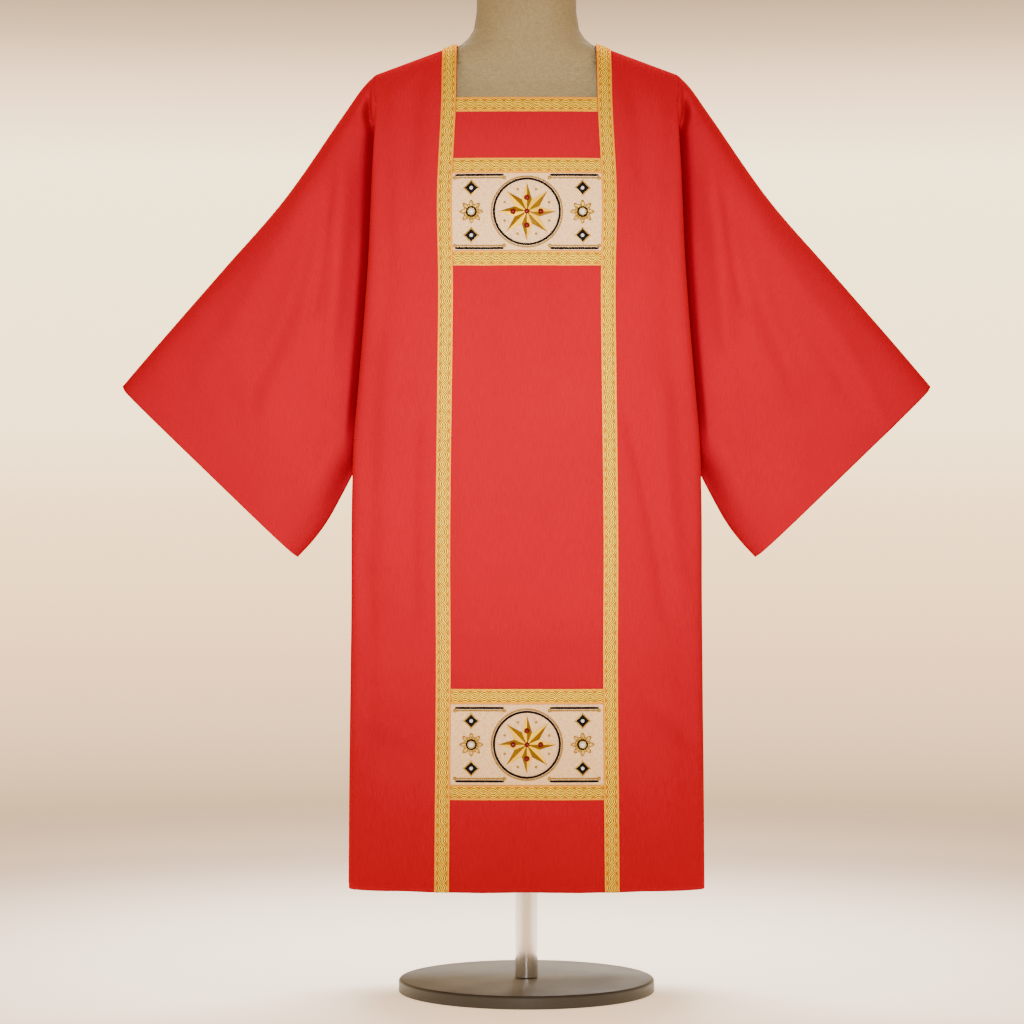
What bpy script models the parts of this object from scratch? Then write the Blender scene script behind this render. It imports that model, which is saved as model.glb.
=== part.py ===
"""A dalmatic, a wide vestment with open sleeves, worn by a limbless dress form on its stand.

Metres, +Z up. The front faces -Y and +X is the wearer's left. The origin is the middle of the
stand's foot, on the floor. Each cut piece of cloth is an open surface, the middle of its wall, with
a Solidify modifier. Sewn pieces stay a small gap apart, and trimmings are made from the points of
the panel under them, moved out.
"""

import math

import bmesh
import bpy
import numpy as np

# Cloth
WALL = 0.0020
SEAM_HALF_GAP = 0.0004
ARMHOLE_GAP = 0.0010
GALLOON_THICKNESS = 0.0012
EMBROIDERY_THICKNESS = 0.0010
TRIM_GAP = 0.0005
TRIM_INSET = 0.0005

# Shoulder line, straight from the neck edge to the tip
NECK_HALF_WIDTH = 0.0975
NECK_RIDGE_HEIGHT = 1.3315
SHOULDER_SLOPE = 0.368
SHOULDER_TIP = 0.2125

# Depth of the hanging cloth in front and behind, and how it falls from the shoulder line
FRONT_DEPTH = 0.133
BACK_DEPTH = 0.130
FALL_LENGTH = 0.075
FALL_POWER = 0.62
PLUMB_LENGTH = 0.20
CORNER_ROUNDING = 0.36

# Heights
HEM = 0.1527
UNDERARM = 0.7445
FRONT_NECK_BAR = (1.2456, 1.2250)
BACK_NECK_BAR = (1.275, 1.253)
UPPER_BARS = ((1.1594, 1.1388), (1.0318, 1.0116))
LOWER_BARS = ((0.4318, 0.4113), (0.3002, 0.2798))
ROWS_BETWEEN = (1.190, 1.085, 0.950, 0.890, 0.830, 0.785, 0.765, 0.752, UNDERARM, 0.715, 0.670,
                0.610, 0.520, 0.356, 0.215)

# Vertical galloons: half their width, and how far their middle stands from the centre line
GALLOON_HALF_WIDTH = 0.0100
GALLOON_HEIGHTS = (HEM, 0.25, 0.47, 0.62, 0.83, 1.00, 1.10, 1.25, NECK_RIDGE_HEIGHT)
GALLOON_MIDDLES = (0.1166, 0.1158, 0.1143, 0.1148, 0.1127, 0.1112, 0.1129, 0.1073, 0.1075)

# Side edge of the front and back, where the cloth turns back towards the armhole
EDGE_HEIGHTS = (HEM, 0.41, 0.55, 0.713, 0.772, 0.850, 0.968, 1.03, 1.11, 1.25)
EDGE_HALF_WIDTHS = (0.2455, 0.2432, 0.2420, 0.2411, 0.2390, 0.2321, 0.2224, 0.2182, 0.2148, 0.2090)
EDGE_TURN_DEPTH = 0.075
EDGE_START = 0.030
EDGE_ROUNDING = 0.007
EDGE_ROUNDING_SHARE = 0.35

# The deep side fold: how far it reaches inwards, and where the armhole seam lies in it. The knots
# inside it are shares of the way from the edge to the seam, across and in depth.
FOLD_TOP = 1.265
FOLD_FULL = 1.140
FOLD_REACH = 0.060
FOLD_SEAM_DEPTH = 0.050
FOLD_KNOTS = ((0.25, 0.48), (0.66, 0.66), (0.95, 0.80))
UNDERARM_REACH = 0.0150
UNDERARM_RISE = 0.130
SIDE_SEAM_HEIGHTS = (HEM, 0.41, 0.55, 0.65, 0.70, UNDERARM)
SIDE_SEAM_HALF_WIDTHS = (0.2495, 0.2470, 0.2440, 0.2360, 0.2300, 0.2260)

# Sleeve outline seen from the front: x and z of points along its top and its underside
SLEEVE_TOP_X = (SHOULDER_TIP, 0.232, 0.2615, 0.3405, 0.4265, 0.5125, 0.5703)
SLEEVE_TOP_Z = (1.2892, 1.269, 1.227, 1.114, 1.015, 0.9165, 0.8488)
SLEEVE_UNDER_X = (0.226, 0.2340, 0.2415, 0.2573, 0.2798, 0.3010, 0.3236)
SLEEVE_UNDER_Z = (UNDERARM, 0.7425, 0.7320, 0.7022, 0.6627, 0.6345, 0.6106)
CORNER_STEP = 0.0022
CUFF_HALF_DEPTH = 0.040
SLEEVE_BULGE = 0.008
LENS_SHARPNESS = 2.6
LENS_POWER = 0.62

# The fold's second turn in the sleeve: its depth, and shares of the sleeve's length
SLEEVE_TURN = 0.012
TURN_HELD = 0.06
TURN_RISE = 0.030
TURN_FADE = 0.30

# Padded embroidery: the star in the middle and the rosette on each side
STAR_RADIUS = 0.040
STAR_HEIGHT = 0.0014
STAR_RAYS = 8
STAR_RAY_SHARE = 0.2
ROSETTE_RADIUS = 0.017
ROSETTE_HEIGHT = 0.0009
ROSETTE_PLACE = 0.076

# Dress form and stand
FORM_GAP = 0.0005
FORM_INSIDE = 0.80
FORM_NECK_ROOM = 1.2
FORM_HEIGHTS = (0.625, 0.64, 0.70, 0.80, 0.90, 1.00, 1.10, 1.16, 1.20, 1.225, 1.25, 1.272, 1.284)
FORM_HALF_WIDTHS = (0.145, 0.152, 0.158, 0.150, 0.150, 0.156, 0.154, 0.160, 0.180, 0.193, 0.200,
                    0.2035, 0.2030)
FORM_HALF_DEPTHS = (0.098, 0.104, 0.110, 0.104, 0.100, 0.108, 0.108, 0.100, 0.090, 0.085, 0.080,
                    0.070, 0.068)
FORM_SLOPE_DROP = 0.092
FORM_SLOPE_LEVELS = 5
NECK_TOP = 1.430
NECK_HEIGHTS = (1.330, 1.340, 1.353, 1.378, NECK_TOP)
NECK_HALF_WIDTHS = (0.0950, 0.0830, 0.0745, 0.0705, 0.0695)
NECK_HALF_DEPTHS = (0.070, 0.067)
CAP_HEIGHT = 0.022
CAP_RIM = 0.006
CAP_INSET = 0.002
POLE_RADIUS = 0.016
BASE_RADIUS = 0.180
BASE_HEIGHT = 0.018
BASE_EDGE = 0.004
CONTACT_GAP = 0.0003

# Grid
YOKE_SHARES = (0.0, 0.02, 0.08, 0.25, 0.55)
SIDE_STEPS = 8
SLEEVE_STATIONS = (0.0, 0.012, 0.035, 0.09, 0.20, 0.40, 0.60, 0.80, 1.0)
FORM_HALF_STEPS = 14
GROUND_ROWS = 11
GROUND_COLUMNS = 17

RED_CLOTH = ("red cloth", (0.64, 0.045, 0.035, 1.0), 0.50, 0.0)
GOLD_GALLOON = ("gold galloon", (0.76, 0.46, 0.10, 1.0), 0.42, 0.55)
LINEN = ("embroidered ground", (0.68, 0.55, 0.45, 1.0), 0.70, 0.0)
CANVAS = ("form canvas", (0.47, 0.35, 0.20, 1.0), 0.85, 0.0)
TURNED_WOOD = ("turned wood", (0.30, 0.15, 0.07, 1.0), 0.45, 0.0)
CHROME = ("chrome", (0.75, 0.75, 0.76, 1.0), 0.20, 1.0)
PAINTED_METAL = ("painted metal", (0.05, 0.05, 0.055, 1.0), 0.45, 0.3)


def clear_scene():
    for thing in list(bpy.data.objects):
        bpy.data.objects.remove(thing, do_unlink=True)


def material(name, colour, roughness, metallic):
    """One Principled material for each name."""
    made = bpy.data.materials.get(name)
    if made is None:
        made = bpy.data.materials.new(name)
        made.use_nodes = True
        shader = made.node_tree.nodes["Principled BSDF"]
        shader.inputs["Base Color"].default_value = colour
        shader.inputs["Roughness"].default_value = roughness
        shader.inputs["Metallic"].default_value = metallic
    return made


def add_object(name, mesh, look):
    """Puts a mesh in the part's collection under its node's name."""
    made = bpy.data.objects.new(name, mesh)
    mesh.materials.append(material(*look))
    bpy.data.collections["dalmatic"].objects.link(made)
    return made


def soft_step(t):
    """0 below 0, 1 above 1, and smooth between."""
    t = np.clip(t, 0.0, 1.0)
    return t * t * (3.0 - 2.0 * t)


def mix(a, b, share):
    return a + (b - a) * share


def graph(at, places, values):
    """A smooth graph through (place, value) pairs: cubic pieces with their neighbours' slopes."""
    places, values = np.array(places), np.array(values)
    slopes = np.gradient(values, places)
    at = np.clip(at, places[0], places[-1])
    i = np.clip(np.searchsorted(places, at) - 1, 0, len(places) - 2)
    span = places[i + 1] - places[i]
    u = (at - places[i]) / span
    rising = values[i + 1] * u * u * (3 - 2 * u) - span * slopes[i + 1] * u * u * (1 - u)
    falling = values[i] * (1 + 2 * u) * (1 - u) ** 2 + span * slopes[i] * u * (1 - u) ** 2
    return rising + falling


def through(knots, t):
    """Points at t, from 0 to the last knot's number, on a smooth curve through knots (..., n, 3)."""
    last = knots.shape[-2] - 1
    i = np.clip(np.floor(t).astype(int), 0, last - 1)
    u = (t - i)[:, None]
    before, start = knots[..., np.maximum(i - 1, 0), :], knots[..., i, :]
    end, after = knots[..., i + 1, :], knots[..., np.minimum(i + 2, last), :]
    straight = 2 * start + (end - before) * u
    bend = (2 * before - 5 * start + 4 * end - after) * u**2
    return 0.5 * (straight + bend + (3 * (start - end) + after - before) * u**3)


def unit(vectors):
    return vectors / np.maximum(np.linalg.norm(vectors, axis=-1, keepdims=True), 1e-12)


def trimmed(edge, inside, by):
    """Edge points moved towards the points just inside them."""
    return edge + unit(inside - edge) * by


def ridge(x):
    """Height of the shoulder line at x: level over the neck, then straight and falling outwards."""
    return NECK_RIDGE_HEIGHT - SHOULDER_SLOPE * np.maximum(np.abs(x) - NECK_HALF_WIDTH, 0.0)


def fall(drop):
    """Share of the full depth at a drop below the shoulder line: round at the top, then plumb."""
    drop = np.maximum(drop, 0.0)
    return 1.0 - np.exp(-((drop / FALL_LENGTH) ** FALL_POWER) - (drop / PLUMB_LENGTH) ** 2)


def hang_depth(x, z, depth):
    """How far the cloth stands from the middle plane at x and z, without its side folds."""
    across = np.abs(x) / graph(z, EDGE_HEIGHTS, EDGE_HALF_WIDTHS)
    return depth * fall(ridge(x) - z) * (1.0 - CORNER_ROUNDING * across**3)


def armhole_seam(z):
    """Distance from the centre and depth of the armhole seam in the full side fold, then of the
    side seam below the underarm."""
    edge = graph(z, EDGE_HEIGHTS, EDGE_HALF_WIDTHS)
    open_share = soft_step((z - UNDERARM) / UNDERARM_RISE)
    above = edge - mix(UNDERARM_REACH, FOLD_REACH, open_share)
    below = graph(z, SIDE_SEAM_HEIGHTS, SIDE_SEAM_HALF_WIDTHS)
    x = np.where(z > UNDERARM, above, below)
    return x, FOLD_SEAM_DEPTH * open_share


def side_path(z, depth, steps):
    """Points (rows, steps + 1, 3) of one panel from its last flat column, around its side edge and
    back to the seam. Near the shoulder the path stays open, and it folds as z falls."""
    edge = graph(z, EDGE_HEIGHTS, EDGE_HALF_WIDTHS)
    start = edge - EDGE_START
    start_depth = hang_depth(start, z, depth)
    seam, seam_depth = armhole_seam(z)
    reach = edge - seam
    turn_depth = EDGE_TURN_DEPTH * depth / FRONT_DEPTH
    places = (
        (start, start_depth),
        (edge - EDGE_ROUNDING, mix(start_depth, turn_depth, EDGE_ROUNDING_SHARE)),
        (edge, turn_depth + 0.0 * z),
        *((edge - across * reach, mix(turn_depth, seam_depth, inwards)) for across, inwards in FOLD_KNOTS),
        (seam, seam_depth),
    )
    knots = np.stack([np.stack([x, y, z], axis=-1) for x, y in places], axis=-2)
    share = np.linspace(0.0, 1.0, steps + 1)
    folded = through(knots, share * (len(places) - 1))
    turn_share = 2.0 / (len(places) - 1)
    to_edge = np.clip(share / turn_share, 0.0, 1.0)
    to_tip = np.clip((share - turn_share) / (1.0 - turn_share), 0.0, 1.0)
    open_x = start[:, None] + EDGE_START * to_edge + (SHOULDER_TIP - edge)[:, None] * to_tip
    open_z = z[:, None] + 0.0 * open_x
    opened = np.stack([open_x, hang_depth(open_x, open_z, depth), open_z], axis=-1)
    folded_share = soft_step((FOLD_TOP - z) / (FOLD_TOP - FOLD_FULL))[:, None, None]
    return mix(opened, folded, folded_share)


def row_heights(neck_bar):
    """Heights of the panel's rows from its neck bar down, with a row on each edge of each bar."""
    edges = (*neck_bar, *UPPER_BARS[0], *UPPER_BARS[1], *LOWER_BARS[0], *LOWER_BARS[1], HEM)
    return sorted(edges + ROWS_BETWEEN, reverse=True)


def level_at(x, height, share):
    """Height at x of a row that lies this share of the way down from the shoulder line."""
    return mix(ridge(x), height, share)


def panel_points(depth, neck_bar, side):
    """Middle surface (rows, columns, 3) of the front (side -1) or the back (side +1), with rows from
    the shoulder line to the hem and columns from one seam to the other."""
    rows = [(neck_bar[0], share) for share in YOKE_SHARES]
    rows = rows + [(height, 1.0) for height in row_heights(neck_bar)]
    half = []
    for height, share in rows:
        tip_level = level_at(np.array([SHOULDER_TIP]), height, share)
        middle = graph(tip_level[0], GALLOON_HEIGHTS, GALLOON_MIDDLES)
        inner, outer = middle - GALLOON_HALF_WIDTH, middle + GALLOON_HALF_WIDTH
        path = side_path(tip_level, depth, SIDE_STEPS)[0]
        flat_x = np.array([0.0, 0.5 * inner, inner, outer, mix(outer, path[0, 0], 0.5)])
        flat_z = level_at(flat_x, height, share)
        flat = np.stack([flat_x, hang_depth(flat_x, flat_z, depth), flat_z], axis=-1)
        if share < 1.0:
            path[:, 2] = level_at(path[:, 0], height, share)
            path[:, 1] = hang_depth(path[:, 0], path[:, 2], depth)
        half.append(np.concatenate([flat, path]))
    half = np.array(half)
    half[:, -1] = trimmed(half[:, -1], half[:, -2], SEAM_HALF_GAP)
    half[0] = trimmed(half[0], half[1], SEAM_HALF_GAP)
    half[..., 1] *= side
    mirrored = half[:, :0:-1] * np.array([-1.0, 1.0, 1.0])
    return np.concatenate([mirrored, half], axis=1)


def outward_normals(points, side):
    """Unit normals of a panel's grid that point away from the wearer."""
    normals = unit(np.cross(np.gradient(points, axis=1), np.gradient(points, axis=0)))
    return normals * np.sign(side * normals[len(normals) // 2, normals.shape[1] // 2, 1])


def grid_mesh(name, points, closed=False, left_out=None):
    """A mesh of quads over a grid of points, without the cells that left_out marks."""
    rows, columns = points.shape[:2]
    numbers = np.arange(rows * columns).reshape(rows, columns)
    if closed:
        numbers = np.concatenate([numbers, numbers[:1]])
    quads = np.stack([numbers[:-1, :-1], numbers[:-1, 1:], numbers[1:, 1:], numbers[1:, :-1]], axis=-1)
    if left_out is not None:
        quads = quads[~left_out]
    quads = quads.reshape(-1, 4)
    used, quads = np.unique(quads, return_inverse=True)
    mesh = bpy.data.meshes.new(name)
    mesh.from_pydata(points.reshape(-1, 3)[used].tolist(), [], quads.reshape(-1, 4).tolist())
    mesh.shade_smooth()
    return mesh


def cloth(name, mesh, look, thickness):
    """A piece of cloth: its middle surface with a wall on both sides."""
    made = add_object(name, mesh, look)
    wall = made.modifiers.new("wall", "SOLIDIFY")
    wall.thickness = thickness
    wall.offset = 0.0
    return made


def make_panels():
    """The front and the back. Returns their points and outward normals for the trimmings."""
    front = panel_points(FRONT_DEPTH, FRONT_NECK_BAR, -1)
    back = panel_points(BACK_DEPTH, BACK_NECK_BAR, +1)
    centre = front.shape[1] // 2
    neck = np.zeros((front.shape[0] - 1, front.shape[1] - 1), dtype=bool)
    neck[: len(YOKE_SHARES), centre - 2 : centre + 2] = True
    cloth("body_front", grid_mesh("body_front", front, left_out=neck), RED_CLOTH, WALL)
    cloth("body_back", grid_mesh("body_back", back, left_out=neck), RED_CLOTH, WALL)
    return (front, outward_normals(front, -1)), (back, outward_normals(back, +1))


def spaced(knots, shares):
    """Points on a smooth curve through the knots, at shares of its length."""
    lengths = np.linalg.norm(np.diff(knots, axis=0), axis=1)
    passed = np.concatenate([[0.0], np.cumsum(lengths)]) / lengths.sum()
    return through(knots, np.interp(shares, passed, np.arange(len(knots))).ravel()).reshape(
        *shares.shape, knots.shape[-1])


def fold_amount(z):
    """How far the deep side fold is formed at a height: none at the shoulder and at the underarm."""
    below_shoulder = soft_step((FOLD_TOP - z) / (FOLD_TOP - FOLD_FULL))
    return below_shoulder * soft_step((z - UNDERARM) / UNDERARM_RISE)


def sleeve_half(seam, side):
    """Half of a sleeve, (points of the armhole seam, stations, 3): a surface stretched between the
    seam, the cuff and the outline's top and underside. It leaves the seam as the fold's second
    turn does, and at the underarm, where it meets the side at a corner, it starts past the wall."""
    steps = np.linalg.norm(np.diff(seam, axis=0), axis=1)
    around = np.concatenate([[0.0], np.cumsum(steps)]) / steps.sum()
    fold = np.sqrt(fold_amount(seam[:, 2]))[:, None]
    corner = 1.0 - soft_step((seam[:, 2] - UNDERARM) / UNDERARM_RISE)
    seam = seam + CORNER_STEP * corner[:, None] * np.array([1.0, 0.0, 0.0])
    v, s = around[:, None], np.array(SLEEVE_STATIONS)[None, :]
    along = s * mix(1.0, soft_step(s / TURN_HELD), fold)
    top = np.stack([SLEEVE_TOP_X, SLEEVE_TOP_Z], axis=-1)
    under = np.stack([SLEEVE_UNDER_X, SLEEVE_UNDER_Z], axis=-1)
    down, out = v[..., None], along[..., None]
    cuff = mix(top[-1], under[-1], down)
    corners = mix(mix(top[0], under[0], down), cuff, out)
    outline = mix(spaced(top, along), spaced(under, along), down)
    xz = outline + mix(seam[:, None, ::2], cuff, out) - corners

    lens = np.maximum(1.0 - np.abs(2.0 * v - 1.0) ** LENS_SHARPNESS, 0.0) ** LENS_POWER
    turn = soft_step(s / TURN_RISE) * (1.0 - soft_step((s - TURN_HELD) / TURN_FADE)) * SLEEVE_TURN * fold
    depth = mix(np.abs(seam[:, 1])[:, None], CUFF_HALF_DEPTH * lens, soft_step(s))
    depth = depth + SLEEVE_BULGE * np.sin(math.pi * s) * lens - turn
    return np.stack([xz[..., 0], side * np.maximum(depth, 0.0), xz[..., 1]], axis=-1)


def make_sleeve(name, front, back, mirror):
    """A sleeve: a tube around the armhole seam, open at the armhole and at the cuff."""
    seam_rows = len(YOKE_SHARES) + row_heights(FRONT_NECK_BAR).index(UNDERARM) + 1
    front_half = sleeve_half(front[:seam_rows, -1], -1)
    back_half = sleeve_half(back[:seam_rows, -1], +1)
    tube = np.concatenate([front_half, back_half[-2:0:-1]])
    for line in (0, seam_rows - 1):
        tube[line, :, 1] = 0.0
    tube[:, 0] = trimmed(tube[:, 0], tube[:, 1], ARMHOLE_GAP)
    tube[..., 0] *= mirror
    cloth(name, grid_mesh(name, tube, closed=True), RED_CLOTH, WALL)


def make_long_galloon(name, front, back, column):
    """A galloon from the front hem over the shoulder to the back hem, one column of cells wide."""
    edge = slice(column, column + 2)
    lift = 0.5 * WALL + TRIM_GAP + 0.5 * GALLOON_THICKNESS
    over = []
    for points, normals in (front, back):
        over.append(points[:, edge] + lift * normals[:, edge])
    crest = 0.5 * (over[0][:1] + over[1][:1])
    strip = np.concatenate([over[0][:0:-1], crest, over[1][1:]])
    cloth(name, grid_mesh(name, strip), GOLD_GALLOON, GALLOON_THICKNESS)


def row_of(heights, height):
    return len(YOKE_SHARES) + heights.index(height)


def make_bar(name, panel, neck_bar, bar):
    """A level galloon between the two long ones, from the panel's points moved out."""
    points, normals = panel
    heights = row_heights(neck_bar)
    rows = slice(row_of(heights, bar[0]), row_of(heights, bar[1]) + 1)
    centre = points.shape[1] // 2
    columns = slice(centre - 2, centre + 3)
    lift = 0.5 * WALL + TRIM_GAP + 0.5 * GALLOON_THICKNESS
    strip = points[rows, columns] + lift * normals[rows, columns]
    strip[:, 0] = trimmed(strip[:, 0], strip[:, 1], TRIM_INSET)
    strip[:, -1] = trimmed(strip[:, -1], strip[:, -2], TRIM_INSET)
    cloth(name, grid_mesh(name, strip), GOLD_GALLOON, GALLOON_THICKNESS)


def on_facets(grid, rows, columns):
    """Points on the flat faces between a grid's points, at parts of its row and column numbers."""
    row, column = np.floor(rows).astype(int), np.floor(columns).astype(int)
    row = np.minimum(row, grid.shape[0] - 2)
    column = np.minimum(column, grid.shape[1] - 2)
    down, right = (rows - row)[:, None, None], (columns - column)[None, :, None]
    upper = mix(grid[row][:, column], grid[row][:, column + 1], right)
    lower = mix(grid[row + 1][:, column], grid[row + 1][:, column + 1], right)
    return mix(upper, lower, down)


def relief(x, z):
    """Height of the padded embroidery: a star in the middle and a rosette on each side."""
    rays = 1.0 - STAR_RAY_SHARE + STAR_RAY_SHARE * np.cos(STAR_RAYS * np.arctan2(z, x))
    star = 1.0 - np.hypot(x, z) / (STAR_RADIUS * rays)
    rosette = 1.0 - np.hypot(np.abs(x) - ROSETTE_PLACE, z) / ROSETTE_RADIUS
    raised = STAR_HEIGHT * np.clip(2.0 * star, 0.0, 1.0)
    return raised + ROSETTE_HEIGHT * np.clip(2.0 * rosette, 0.0, 1.0)


def make_embroidered_panel(name, front, bars):
    """The embroidered ground between two bars: a flat wall on the panel's faces, whose outer points
    are raised under the padded motifs."""
    points, normals = front
    heights = row_heights(FRONT_NECK_BAR)
    first, last = row_of(heights, bars[0][1]), row_of(heights, bars[1][0])
    centre = points.shape[1] // 2
    rows = slice(first, last + 1)
    columns = slice(centre - 2, centre + 3)
    row_places = np.linspace(0.0, last - first, GROUND_ROWS)
    column_places = np.linspace(0.0, 4.0, GROUND_COLUMNS)
    ground = on_facets(points[rows, columns], row_places, column_places)
    outwards = unit(on_facets(normals[rows, columns], row_places, column_places))
    for edge, inside in (((0, slice(None)), (1, slice(None))), ((-1, slice(None)), (-2, slice(None))),
                         ((slice(None), 0), (slice(None), 1)), ((slice(None), -1), (slice(None), -2))):
        ground[edge] = trimmed(ground[edge], ground[inside], TRIM_INSET)
    middle_height = 0.5 * (bars[0][1] + bars[1][0])
    inner = ground + outwards * (0.5 * WALL + TRIM_GAP)
    raised = relief(ground[..., 0], ground[..., 2] - middle_height)
    outer = inner + outwards * (EMBROIDERY_THICKNESS + raised)[..., None]
    add_object(name, slab_mesh(name, outer, inner), LINEN)


def slab_mesh(name, outer, inner):
    """A closed mesh between two grids of points, with a rim along their border."""
    rows, columns = outer.shape[:2]
    count = rows * columns
    numbers = np.arange(count).reshape(rows, columns)
    quads = np.stack([numbers[:-1, :-1], numbers[:-1, 1:], numbers[1:, 1:], numbers[1:, :-1]], axis=-1)
    quads = quads.reshape(-1, 4)
    border = np.concatenate([numbers[0, :-1], numbers[:-1, -1], numbers[-1, :0:-1], numbers[:0:-1, 0]])
    after = np.roll(border, -1)
    rim = np.stack([after, border, border + count, after + count], axis=-1)
    faces = np.concatenate([quads, quads[:, ::-1] + count, rim])
    mesh = bpy.data.meshes.new(name)
    mesh.from_pydata(np.concatenate([outer, inner]).reshape(-1, 3).tolist(), [], faces.tolist())
    face_out(mesh)
    return mesh


def face_out(mesh):
    """Turns a closed mesh's faces outwards."""
    shape = bmesh.new()
    shape.from_mesh(mesh)
    bmesh.ops.recalc_face_normals(shape, faces=shape.faces)
    shape.to_mesh(mesh)
    shape.free()


def form_levels():
    """Heights, half widths and half depths of the dress form, from its underside to its neck. On
    the shoulders its edge follows the cloth's shoulder line, just below the wall."""
    under_ridge = NECK_RIDGE_HEIGHT - 0.5 * WALL - FORM_GAP
    slope_foot = under_ridge - SHOULDER_SLOPE * FORM_SLOPE_DROP
    slope_heights = np.linspace(slope_foot, under_ridge - 3.0 * FORM_GAP, FORM_SLOPE_LEVELS)
    slope_widths = NECK_HALF_WIDTH + (under_ridge - slope_heights) / SHOULDER_SLOPE
    heights = np.concatenate([FORM_HEIGHTS, slope_heights, NECK_HEIGHTS])
    widths = np.concatenate([FORM_HALF_WIDTHS, slope_widths, NECK_HALF_WIDTHS])
    neck_depths = np.linspace(*NECK_HALF_DEPTHS, FORM_SLOPE_LEVELS + len(NECK_HEIGHTS))
    return heights, widths, np.concatenate([FORM_HALF_DEPTHS, neck_depths])


def make_form():
    """The torso: level sections, no deeper anywhere than the cloth over them allows."""
    heights, widths, depths = form_levels()
    angle = np.linspace(0.0, math.pi, FORM_HALF_STEPS + 1)
    x = widths[:, None] * np.cos(angle)
    z = heights[:, None] + 0.0 * x
    halves = []
    for side, cloth_depth in ((-1, FRONT_DEPTH), (+1, BACK_DEPTH)):
        y = depths[:, None] * np.sin(angle)
        under = np.maximum(np.abs(x), NECK_HALF_WIDTH)
        room = FORM_INSIDE * hang_depth(under, z + 0.5 * WALL + FORM_GAP, cloth_depth)
        room = room + FORM_NECK_ROOM * (under - np.abs(x))
        y = np.where(z < NECK_RIDGE_HEIGHT, np.minimum(y, room), y)
        y[:, 0] = y[:, -1] = 0.0
        halves.append(np.stack([x, side * y, z], axis=-1))
    loops = np.concatenate([halves[0], halves[1][:, -2:0:-1]], axis=1)
    levels, around = loops.shape[:2]
    numbers = np.arange(levels * around).reshape(levels, around)
    beside = np.roll(numbers, -1, axis=1)
    sides = np.stack([numbers[:-1], beside[:-1], beside[1:], numbers[1:]], axis=-1).reshape(-1, 4)
    faces = sides.tolist() + [numbers[0, ::-1].tolist(), numbers[-1].tolist()]
    mesh = bpy.data.meshes.new("form_torso")
    mesh.from_pydata(loops.reshape(-1, 3).tolist(), [], faces)
    face_out(mesh)
    mesh.shade_smooth()
    mesh.set_sharp_from_angle(angle=math.radians(50))
    add_object("form_torso", mesh, CANVAS)


def turned(name, profile, look, steps=32):
    """A round piece from its profile of (radius, height), top to bottom, that a Screw turns."""
    mesh = bpy.data.meshes.new(name)
    corners = [(radius, 0.0, height) for radius, height in profile]
    mesh.from_pydata(corners, [(i, i + 1) for i in range(len(corners) - 1)], [])
    made = add_object(name, mesh, look)
    screw = made.modifiers.new("turn", "SCREW")
    screw.steps = screw.render_steps = steps
    screw.use_merge_vertices = True
    screw.merge_threshold = 0.00005
    return made


def make_stand():
    """The neck cap, the pole and the round foot."""
    cap_foot = NECK_TOP + CONTACT_GAP
    radius = NECK_HALF_DEPTHS[1] - CAP_INSET
    bulge = [(radius * math.sin(a), cap_foot + CAP_RIM + (CAP_HEIGHT - CAP_RIM) * math.cos(a))
             for a in np.linspace(0.0, 0.5 * math.pi, 6)]
    turned("form_neck_cap", [*bulge, (radius - CAP_INSET, cap_foot), (0.0, cap_foot)], TURNED_WOOD)
    pole_foot = BASE_HEIGHT + CONTACT_GAP
    pole_top = FORM_HEIGHTS[0] - CONTACT_GAP
    turned("stand_pole", [(0.0, pole_top), (POLE_RADIUS, pole_top), (POLE_RADIUS, pole_foot),
                          (0.0, pole_foot)], CHROME, steps=24)
    rounded = 0.3 * BASE_EDGE
    turned("stand_base", [(0.0, BASE_HEIGHT), (BASE_RADIUS - BASE_EDGE, BASE_HEIGHT),
                          (BASE_RADIUS - rounded, BASE_HEIGHT - rounded),
                          (BASE_RADIUS, BASE_HEIGHT - BASE_EDGE), (BASE_RADIUS, 0.0), (0.0, 0.0)],
           PAINTED_METAL, steps=48)


def main():
    clear_scene()
    bpy.context.scene.collection.children.link(bpy.data.collections.new("dalmatic"))
    front, back = make_panels()
    make_sleeve("sleeve_left", front[0], back[0], +1)
    make_sleeve("sleeve_right", front[0], back[0], -1)
    centre = front[0].shape[1] // 2
    make_long_galloon("galloon_left", front, back, centre + 2)
    make_long_galloon("galloon_right", front, back, centre - 3)
    make_bar("galloon_neck_front", front, FRONT_NECK_BAR, FRONT_NECK_BAR)
    make_bar("galloon_neck_back", back, BACK_NECK_BAR, BACK_NECK_BAR)
    make_bar("galloon_upper_top", front, FRONT_NECK_BAR, UPPER_BARS[0])
    make_bar("galloon_upper_bottom", front, FRONT_NECK_BAR, UPPER_BARS[1])
    make_bar("galloon_lower_top", front, FRONT_NECK_BAR, LOWER_BARS[0])
    make_bar("galloon_lower_bottom", front, FRONT_NECK_BAR, LOWER_BARS[1])
    make_embroidered_panel("panel_upper", front, UPPER_BARS)
    make_embroidered_panel("panel_lower", front, LOWER_BARS)
    make_form()
    make_stand()


main()
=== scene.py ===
"""A red dalmatic with gold galloons and embroidered grounds, worn by a limbless dress form."""

import math

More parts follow.
